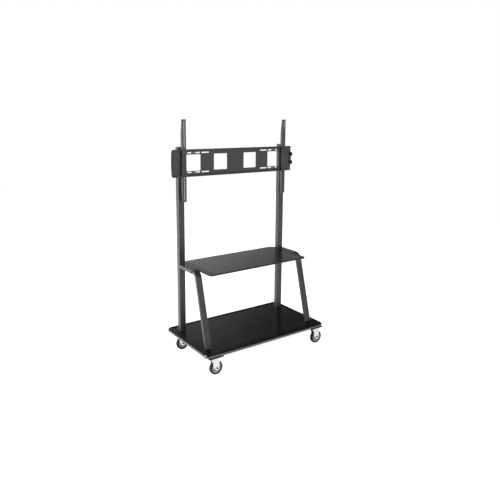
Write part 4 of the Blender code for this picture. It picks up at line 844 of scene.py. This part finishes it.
# %% Make the end stops
FINGER = 0.032
FINGER_INSET = 0.0002
FINGER_CORNER = 0.003
STRIP = 0.003
STRIP_INSET = 0.0005
MOULDED_EDGE = 0.0008
for side, sign in SIDES:
    low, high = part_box(f"rail_end_stop_{side}")
    middle = (low.z + high.z) / 2
    span = (high.z - low.z - FINGER) / 2
    stop = solid(f"dressed_rail_end_stop_{side}",
                 [rectangle((high.y - STRIP, middle - span), (high.y, middle + span))],
                 low.x + STRIP_INSET, high.x - STRIP_INSET, "side")
    for end in (-1, 1):
        z = middle + end * span
        finger = rectangle((low.y, z - FINGER / 2), (high.y - FINGER_INSET, z + FINGER / 2),
                           FINGER_CORNER)
        weld(stop, solid("finger", [finger], low.x, high.x, "side"))
    break_edges(stop, MOULDED_EDGE)
    dress(stop, "black_plastic", "stand", f"rail_end_stop_{side}")

# %% [markdown]
# ## Display arms
# The two arms hook over the rail and carry the screen. Each is a narrow channel with a row of slots down its
# face; its sides narrow towards both tips, have a notch for the rail and end in a hook above it. A folded
# channel is a U seen from above and a cut outline seen from the side. So the U is extruded upwards, the
# outline is extruded across, and only what the two share is kept. Then the slots are cut.


# %% The outline of an arm's sides
ARM_DEPTH = 0.025
ARM_TIP_DEPTH = 0.010
ARM_TAPER = 0.110
ARM_PLAY = 0.0003
NOTCH_SLACK = 0.0005
HOOK_DROP = 0.014
HOOK_RISE = 0.012


def arm_sides(low, high, rail_low, rail_high):
    """An arm's sides, drawn from the side, with the notch and the hook for the rail."""
    deep = low.y + ARM_DEPTH
    shallow = low.y + ARM_TIP_DEPTH
    notch = rail_low.y - NOTCH_SLACK
    below = rail_low.z - ARM_PLAY
    above = rail_high.z + ARM_PLAY
    tongue = rail_high.y + NOTCH_SLACK
    return rounded([
        (low.y - OVERRUN, low.z, 0), (shallow, low.z, 0.003), (deep, low.z + ARM_TAPER, 0.02),
        (deep, below, 0.001), (notch, below, 0.0006), (notch, above, 0.0006), (tongue, above, 0.0006),
        (tongue, above - HOOK_DROP, 0.001), (high.y, above - HOOK_DROP, 0.001),
        (high.y, above + HOOK_RISE, 0.003), (deep, above + 2 * HOOK_RISE, 0.006),
        (deep, high.z - ARM_TAPER, 0.02), (shallow, high.z, 0.003), (low.y - OVERRUN, high.z, 0)], 5)


# %% Make the arms
ARM_SHEET = 0.002
ARM_BEND = 0.0028
ARM_INNER_BEND = 0.0008
ARM_PITCH = 0.015
ARM_END = 0.034
ARM_SLOT = (0.0055, 0.010)
ARM_EDGE = 0.00025
BRIDGE_DROP = 0.020
BRIDGE_THICKNESS = 0.004
BRIDGE_INSET = 0.001
BRIDGE_REACH = 0.0245
BRIDGE_HOLE = 0.0033
rail_low, rail_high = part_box("rail")
for side, sign in SIDES:
    low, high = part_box(f"arm_{side}")
    middle_x = (low.x + high.x) / 2
    back = high.y + OVERRUN
    section = rounded([
        (low.x, low.y, ARM_BEND), (high.x, low.y, ARM_BEND), (high.x, back, 0), (high.x - ARM_SHEET, back, 0),
        (high.x - ARM_SHEET, low.y + ARM_SHEET, ARM_INNER_BEND),
        (low.x + ARM_SHEET, low.y + ARM_SHEET, ARM_INNER_BEND), (low.x + ARM_SHEET, back, 0),
        (low.x, back, 0)])
    arm = solid(f"dressed_arm_{side}", [section], low.z, high.z, "top")
    sides = arm_sides(low, high, rail_low, rail_high)
    keep_common(arm, solid("sides", [sides], low.x - OVERRUN, high.x + OVERRUN, "side"))
    count = int((high.z - low.z - ARM_END) / ARM_PITCH) + 1
    first = (low.z + high.z) / 2 - ARM_PITCH * (count - 1) / 2
    slots = [slot(middle_x, first + ARM_PITCH * index, *ARM_SLOT) for index in range(count)]
    carve(arm, solid("slots", slots, low.y - OVERRUN, low.y + OVERRUN / 2, "front"))
    bridge = rectangle((low.x + BRIDGE_INSET, low.y + BRIDGE_INSET),
                       (high.x - BRIDGE_INSET, low.y + BRIDGE_REACH))
    hole = circle(middle_x, (rail_low.y + rail_high.y) / 2, BRIDGE_HOLE)
    bridge_top = rail_low.z - BRIDGE_DROP
    weld(arm, solid("bridge", [bridge, hole], bridge_top - BRIDGE_THICKNESS, bridge_top, "top"))
    break_edges(arm, ARM_EDGE)
    dress(arm, "powder_coat", f"arm_{side}", f"arm_{side}")
    print("arm", side, "slots:", count)


# %% Make the lock screws
SHANK_RADIUS = 0.003
SHANK_TIP = 0.0024
SHANK_CHAMFER = 0.0006
SHANK_IN_KNOB = 0.001
KNOB_RADIUS = 0.00665
KNOB_HEIGHT = 0.010
KNOB_EDGE = 0.0006
LOBE_HEIGHT = 0.00035


def knob(name, x, y, tip, shank_top, bottom):
    """A thumb screw: a steel shank with a lobed knob."""
    shank_end = shank_top - SHANK_IN_KNOB
    profile = [(0, tip), (SHANK_TIP, tip), (SHANK_RADIUS, tip - SHANK_CHAMFER), (SHANK_RADIUS, shank_end),
               (0, shank_end)]
    shank = turned(name, profile, 24, Matrix.Translation((x, y, 0)))
    lobes = []
    for step in range(72):
        angle = math.tau * step / 72
        radius = KNOB_RADIUS + LOBE_HEIGHT * math.cos(9 * angle)
        lobes.append((x + radius * math.cos(angle), y + radius * math.sin(angle)))
    grip = solid("grip", [lobes], bottom, shank_top, "top")
    break_edges(grip, KNOB_EDGE, 2, sharper_than=60)
    return weld(shank, grip)


for side, sign in SIDES:
    low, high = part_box(f"arm_lock_screw_{side}")
    middle = (low + high) / 2
    piece = knob(f"dressed_arm_lock_screw_{side}", middle.x, middle.y, high.z, low.z + KNOB_HEIGHT, low.z)
    dress(piece, "dark_bolt", f"arm_{side}", f"arm_lock_screw_{side}")

# %% [markdown]
# ## Base: rim and deck
# The base has a thick bullnose rim, a moulded edge that guards walls and ankles, round a sheet deck. Between
# the two runs a narrow groove, which shows as a black line. Rings do this shape too: the rim's
# section is a list of insets and heights, and the rounded rectangle is drawn once for each.

# %% The rim's section
low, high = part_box("base_rim")
RIM_NOSE = 0.0150
RIM_BAND = 0.030
RIM_CORNER = 0.040
RIM_LEAST_CORNER = 0.0015
LEDGE_INSET = 0.050
LEDGE_THICKNESS = 0.004
LEDGE_PLAY = 0.0003


def base_ring(inset):
    """The base from above, drawn in by an inset."""
    return inset_rectangle(low, high, inset, max(RIM_CORNER - inset, RIM_LEAST_CORNER), 12)


deck_low, deck_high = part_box("deck_panel")
ledge = deck_low.z - LEDGE_PLAY
section = [(RIM_BAND, high.z - 0.0012), (RIM_BAND - 0.0004, high.z - 0.0003), (RIM_BAND - 0.0012, high.z)]
section += [(RIM_NOSE - size, high.z - RIM_NOSE + height)
            for size, height in fillet(0, 0, RIM_NOSE, 90, 0, 9)]
section += [(RIM_NOSE - size, low.z + RIM_NOSE + height)
            for size, height in fillet(0, 0, RIM_NOSE, 0, -90, 9)]
section += [(RIM_BAND - 0.0008, low.z), (RIM_BAND, low.z + 0.0008), (RIM_BAND, ledge - LEDGE_THICKNESS),
            (LEDGE_INSET, ledge - LEDGE_THICKNESS), (LEDGE_INSET, ledge), (RIM_BAND, ledge)]

# %% Build the rim
rim = stack("dressed_base_rim", [(base_ring(inset), height) for inset, height in section], round_again=True)
dress(rim, "edge_plastic", "stand", "base_rim")
print("points round the rim's section:", len(section))

# %% Make the deck, trimmed a little so that the groove round it shows
DECK_TRIM = 0.004
DECK_CORNER = 0.006
DECK_EDGE = 0.0010
deck = solid("dressed_deck_panel", [inset_rectangle(deck_low, deck_high, DECK_TRIM, DECK_CORNER)],
             deck_low.z, deck_high.z, "top")
break_edges(deck, DECK_EDGE, 3)
dress(deck, "deck_coat", "stand", "deck_panel")

# %% [markdown]
# ## Casters
# Each caster has a bolted plate, a zinc-plated fork that swivels under it on a ball race, and a wheel with a
# light grey centre and a black rubber tyre. The two in front have a brake pedal. One pattern of each piece
# is made round the swivel's axis, and the four casters share these meshes, so a change to one shows
# on all. The fork is pressed from sheet: a U with round bends seen from the end, cut to its outline
# seen from the side, which is again what two extrusions share.

# %% The caster's sizes, from its swivel axis and the floor
PLATE_TOP = 0.1457
PLATE_BOTTOM = 0.1427
CROWN_TOP = 0.1364
CROWN_BOTTOM = 0.1334
AXLE = (0.022, 0.054)
WHEEL_RADIUS = 0.054
PEDAL_PIN = (-0.018, 0.1254)


def hex_head(name, across_flats, height, matrix):
    """A hexagon head with a chamfered top; it stands up from height zero."""
    corner = across_flats / math.sqrt(3)
    piece = solid(name, [circle(0, 0, corner, 6)], 0, height, "top")
    flat = across_flats / 2 * 0.96
    drop = (corner - flat) * 0.5
    cone = [(0, -0.001), (corner + 0.0002, -0.001), (corner + 0.0002, height - drop - 0.0001), (flat, height),
            (0, height)]
    keep_common(piece, turned("cone", cone, 36))
    piece.data.transform(matrix)
    return piece


# %% The plate with its race and bolt heads
def caster_plate():
    """A bolted plate, its upper ball race and four bolt heads underneath."""
    plate = solid("plate", [rectangle((-0.055, -0.040), (0.055, 0.040), 0.008), circle(0, 0, 0.010)],
                  PLATE_BOTTOM, PLATE_TOP, "top")
    break_edges(plate, 0.0006)
    race = [(0.0105, PLATE_BOTTOM + 0.0005), (0.0270, PLATE_BOTTOM + 0.0005)]
    race += fillet(0.0245, PLATE_BOTTOM - 0.0005, 0.0025, 0, -90, 5)
    race += [(0.0105, PLATE_BOTTOM - 0.0030)]
    weld(plate, turned("race", race, 40, closed=True))
    for x in (-0.040, 0.040):
        for y in (-0.030, 0.030):
            place = Matrix.Translation((x, y, PLATE_BOTTOM + 0.0003)) @ Matrix.Rotation(math.pi, 4, "X")
            weld(plate, hex_head("head", 0.011, 0.0038, place))
    return plate


# %% The fork
def fork_side():
    """The fork's side, drawn from the front: a wide crown, a straight leg and a round tip."""
    tip = 0.018
    axle = Vector(AXLE)
    rear, front = AXLE[0] - 0.034, AXLE[0] + 0.020
    taper = AXLE[1] + 0.012
    back = -0.026
    points = rounded([(front, CROWN_TOP + OVERRUN, 0), (back, CROWN_TOP + OVERRUN, 0),
                      (back, CROWN_TOP - 0.016, 0.006), (rear, CROWN_TOP - 0.034, 0.010),
                      (rear, taper, 0.004), (front, taper, 0.004)])
    left = Vector((rear, taper)) - axle
    right_side = Vector((front, taper)) - axle
    start = math.atan2(left.y, left.x) + math.acos(tip / left.length)
    end = math.atan2(right_side.y, right_side.x) - math.acos(tip / right_side.length) + math.tau
    arc = []
    for step in range(21):
        angle = start + (end - start) * step / 20
        arc.append(axle + tip * Vector((math.cos(angle), math.sin(angle))))
    leg_end = len(points) - 7
    return points[:leg_end] + arc + points[leg_end:]


def caster_fork():
    """The pressed fork with its lower race and the kingpin."""
    outer, inner, foot = 0.0195, 0.0165, 0.02
    section = rounded([
        (-outer, foot, 0), (-outer, CROWN_TOP, 0.0045), (outer, CROWN_TOP, 0.0045), (outer, foot, 0),
        (inner, foot, 0), (inner, CROWN_BOTTOM, 0.0015), (-inner, CROWN_BOTTOM, 0.0015), (-inner, foot, 0)])
    fork = solid("fork", [section], -0.05, 0.06, "side")
    keep_common(fork, solid("side", [fork_side()], -0.03, 0.03, "front"))
    carve(fork, solid("holes", [circle(*AXLE, 0.0043), circle(*PEDAL_PIN, 0.0028)], -0.03, 0.03, "front"))
    break_edges(fork, 0.0004)
    race = [(0, CROWN_TOP - 0.0005), (0.0255, CROWN_TOP - 0.0005), (0.0255, CROWN_TOP + 0.0012)]
    race += fillet(0.0237, CROWN_TOP + 0.0012, 0.0018, 0, 90, 4)[1:]
    race += [(0.0065, CROWN_TOP + 0.0030), (0.0060, CROWN_TOP + 0.0035), (0.0060, PLATE_TOP - 0.0012),
             (0.0050, PLATE_TOP - 0.0003), (0, PLATE_TOP - 0.0003)]
    return weld(fork, turned("race", race, 40))


# %% The wheel: centre and tyre
UPRIGHT_WHEEL = DRAWN_FROM["front"]


def caster_hub():
    """The moulded wheel centre: a rim, a thin web with round pockets and a boss."""
    rim, inside = 0.0403, 0.0353
    half, web, boss = 0.012, 0.005, 0.0155
    right_half = [(0.0043, boss - 0.0008), (0.0051, boss), (0.0100, boss)]
    right_half += fillet(0.0100, boss - 0.0010, 0.0010, 90, 0, 3)[1:]
    right_half += [(0.0112, web + 0.0015)] + fillet(0.0127, web + 0.0015, 0.0015, 180, 270, 3)[1:]
    right_half += fillet(inside - 0.0015, web + 0.0015, 0.0015, -90, 0, 3)
    right_half += [(inside, half - 0.0008), (inside + 0.0008, half), (rim - 0.0008, half),
                   (rim, half - 0.0008)]
    left_half = [(radius, -height) for radius, height in reversed(right_half)]
    hub = turned("hub", right_half + left_half, 64, closed=True)
    pockets = []
    for index in range(8):
        angle = math.tau * (index + 0.5) / 8
        pockets.append(circle(0.0233 * math.cos(angle), 0.0233 * math.sin(angle), 0.0042))
    carve(hub, solid("pockets", pockets, -0.02, 0.02, "top"))
    hub.data.transform(UPRIGHT_WHEEL)
    return hub


def caster_tyre():
    """The rubber tyre: a flat tread with a fine seam, round shoulders and a bead on each side."""
    inner, half, shoulder = 0.0406, 0.014, 0.006
    side_wall = [(inner, half - 0.0006), (inner + 0.0006, half), (inner + 0.0026, half),
                 (inner + 0.0032, half - 0.0005), (inner + 0.0038, half), (WHEEL_RADIUS - shoulder, half)]
    side_wall += fillet(WHEEL_RADIUS - shoulder, half - shoulder, shoulder, 90, 0, 8)[1:]
    side_wall += [(WHEEL_RADIUS, 0.0008), (WHEEL_RADIUS - 0.0003, 0.0004)]
    other = [(radius, -height) for radius, height in reversed(side_wall)]
    tyre = turned("tyre", side_wall + other, 96, closed=True)
    tyre.data.transform(UPRIGHT_WHEEL)
    return tyre


def caster_axle():
    """The axle bolt, its head in front and its nut behind, each with a washer."""
    half = 0.0198
    axle = solid("axle", [circle(0, 0, 0.004)], -half - 0.0036, half + 0.0036, "front")
    for sign in (-1, 1):
        face = Matrix.Translation((0, sign * half, 0)) @ Matrix.Rotation(math.radians(-90) * sign, 4, "X")
        washer = [(0, 0), (0.0072, 0), (0.0072, 0.0008), (0.0070, 0.0010), (0, 0.0010)]
        weld(axle, turned("washer", washer, 32, face))
        weld(axle, hex_head("head", 0.0125, 0.0050, face))
    return axle


# %% The brake pedal
def caster_pedal():
    """The pedal on its pin, drawn round the pin: a lever that rises to a wide ribbed pad."""
    top, bottom = 0.0018, -0.0017
    pad_low, pad_high = 0.0093, 0.0128
    lever = rounded([(-0.0040, bottom, 0), (0.0630, bottom, 0.003), (0.0685, pad_low + 0.0004, 0),
                     (0.0720, pad_high - 0.0006, 0), (0.0658, pad_high - 0.0006, 0.002), (0.0608, top, 0.003),
                     (-0.0040, top, 0)], 4)
    pedal = solid("pedal", [lever], -0.014, 0.014, "front")
    break_edges(pedal, 0.0005)
    weld(pedal, block("shoe", (0.033, -0.0135, -0.009), (0.047, 0.0135, bottom + 0.0006)))
    pad = solid("pad", [rectangle((0.068, -0.025), (0.101, 0.025), 0.006)], pad_low, pad_high - 0.0004, "top")
    break_edges(pad, 0.0008)
    for index in range(5):
        x = 0.0735 + 0.0055 * index
        rib = solid("rib", [rectangle((x - 0.0009, -0.020), (x + 0.0009, 0.020), 0.0008)],
                    pad_high - 0.001, pad_high, "top")
        weld(pad, rib)
    weld(pedal, pad)
    weld(pedal, solid("barrel", [circle(0, 0, 0.0045)], -0.0135, 0.0135, "front"))
    weld(pedal, solid("pin", [circle(0, 0, 0.0025)], -0.0195, 0.0195, "front"))
    return pedal


# %% Place the four casters
PATTERNS = {
    "plate": (caster_plate(), "black_plastic", (0, 0, 0)),
    "fork": (caster_fork(), "zinc_plate", (0, 0, 0)),
    "hub": (caster_hub(), "hub_plastic", (AXLE[0], 0, AXLE[1])),
    "tyre": (caster_tyre(), "tyre_rubber", (AXLE[0], 0, AXLE[1])),
    "axle_bolt": (caster_axle(), "dark_bolt", (AXLE[0], 0, AXLE[1])),
    "brake_pedal": (caster_pedal(), "black_plastic", (PEDAL_PIN[0], 0, PEDAL_PIN[1])),
}
BODY_OF = {"plate": "stand", "fork": "swivel", "axle_bolt": "swivel", "hub": "wheel", "tyre": "wheel",
           "brake_pedal": "pedal"}
for kind, (pattern, finish_name, offset) in PATTERNS.items():
    shade(pattern, finish_name)
for end in ("front", "rear"):
    for side, sign in SIDES:
        prefix = f"caster_{end}_{side}"
        low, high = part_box(f"{prefix}_plate")
        swivel = Vector(((low.x + high.x) / 2, (low.y + high.y) / 2, 0))
        for kind, (pattern, finish_name, offset) in PATTERNS.items():
            node = f"{prefix}_{kind}"
            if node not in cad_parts:
                continue
            piece = add_piece(f"dressed_{node}", pattern.data)
            piece.location = swivel + Vector(offset)
            body = "stand" if BODY_OF[kind] == "stand" else f"{prefix}_{BODY_OF[kind]}"
            place_on(piece, finish_name, body, node)
for pattern, finish_name, offset in PATTERNS.values():
    bpy.data.objects.remove(pattern, do_unlink=True)

# %% [markdown]
# ## What keeps its own shape
# The welded frame under the deck and the foot bolts keep the shapes of the construction model, which
# is right for them. They only get their finishes.

# %% Finish the pieces that keep their shape
kept = []
for name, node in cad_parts.items():
    if node.hide_render:
        continue
    kept.append(name)
    for entry in node.material_slots:
        wanted = entry.material.name.split(".")[0] if entry.material else "powder_coat"
        entry.material = FINISHES.get(wanted, FINISHES["powder_coat"])
print("kept as they are:", ", ".join(kept))
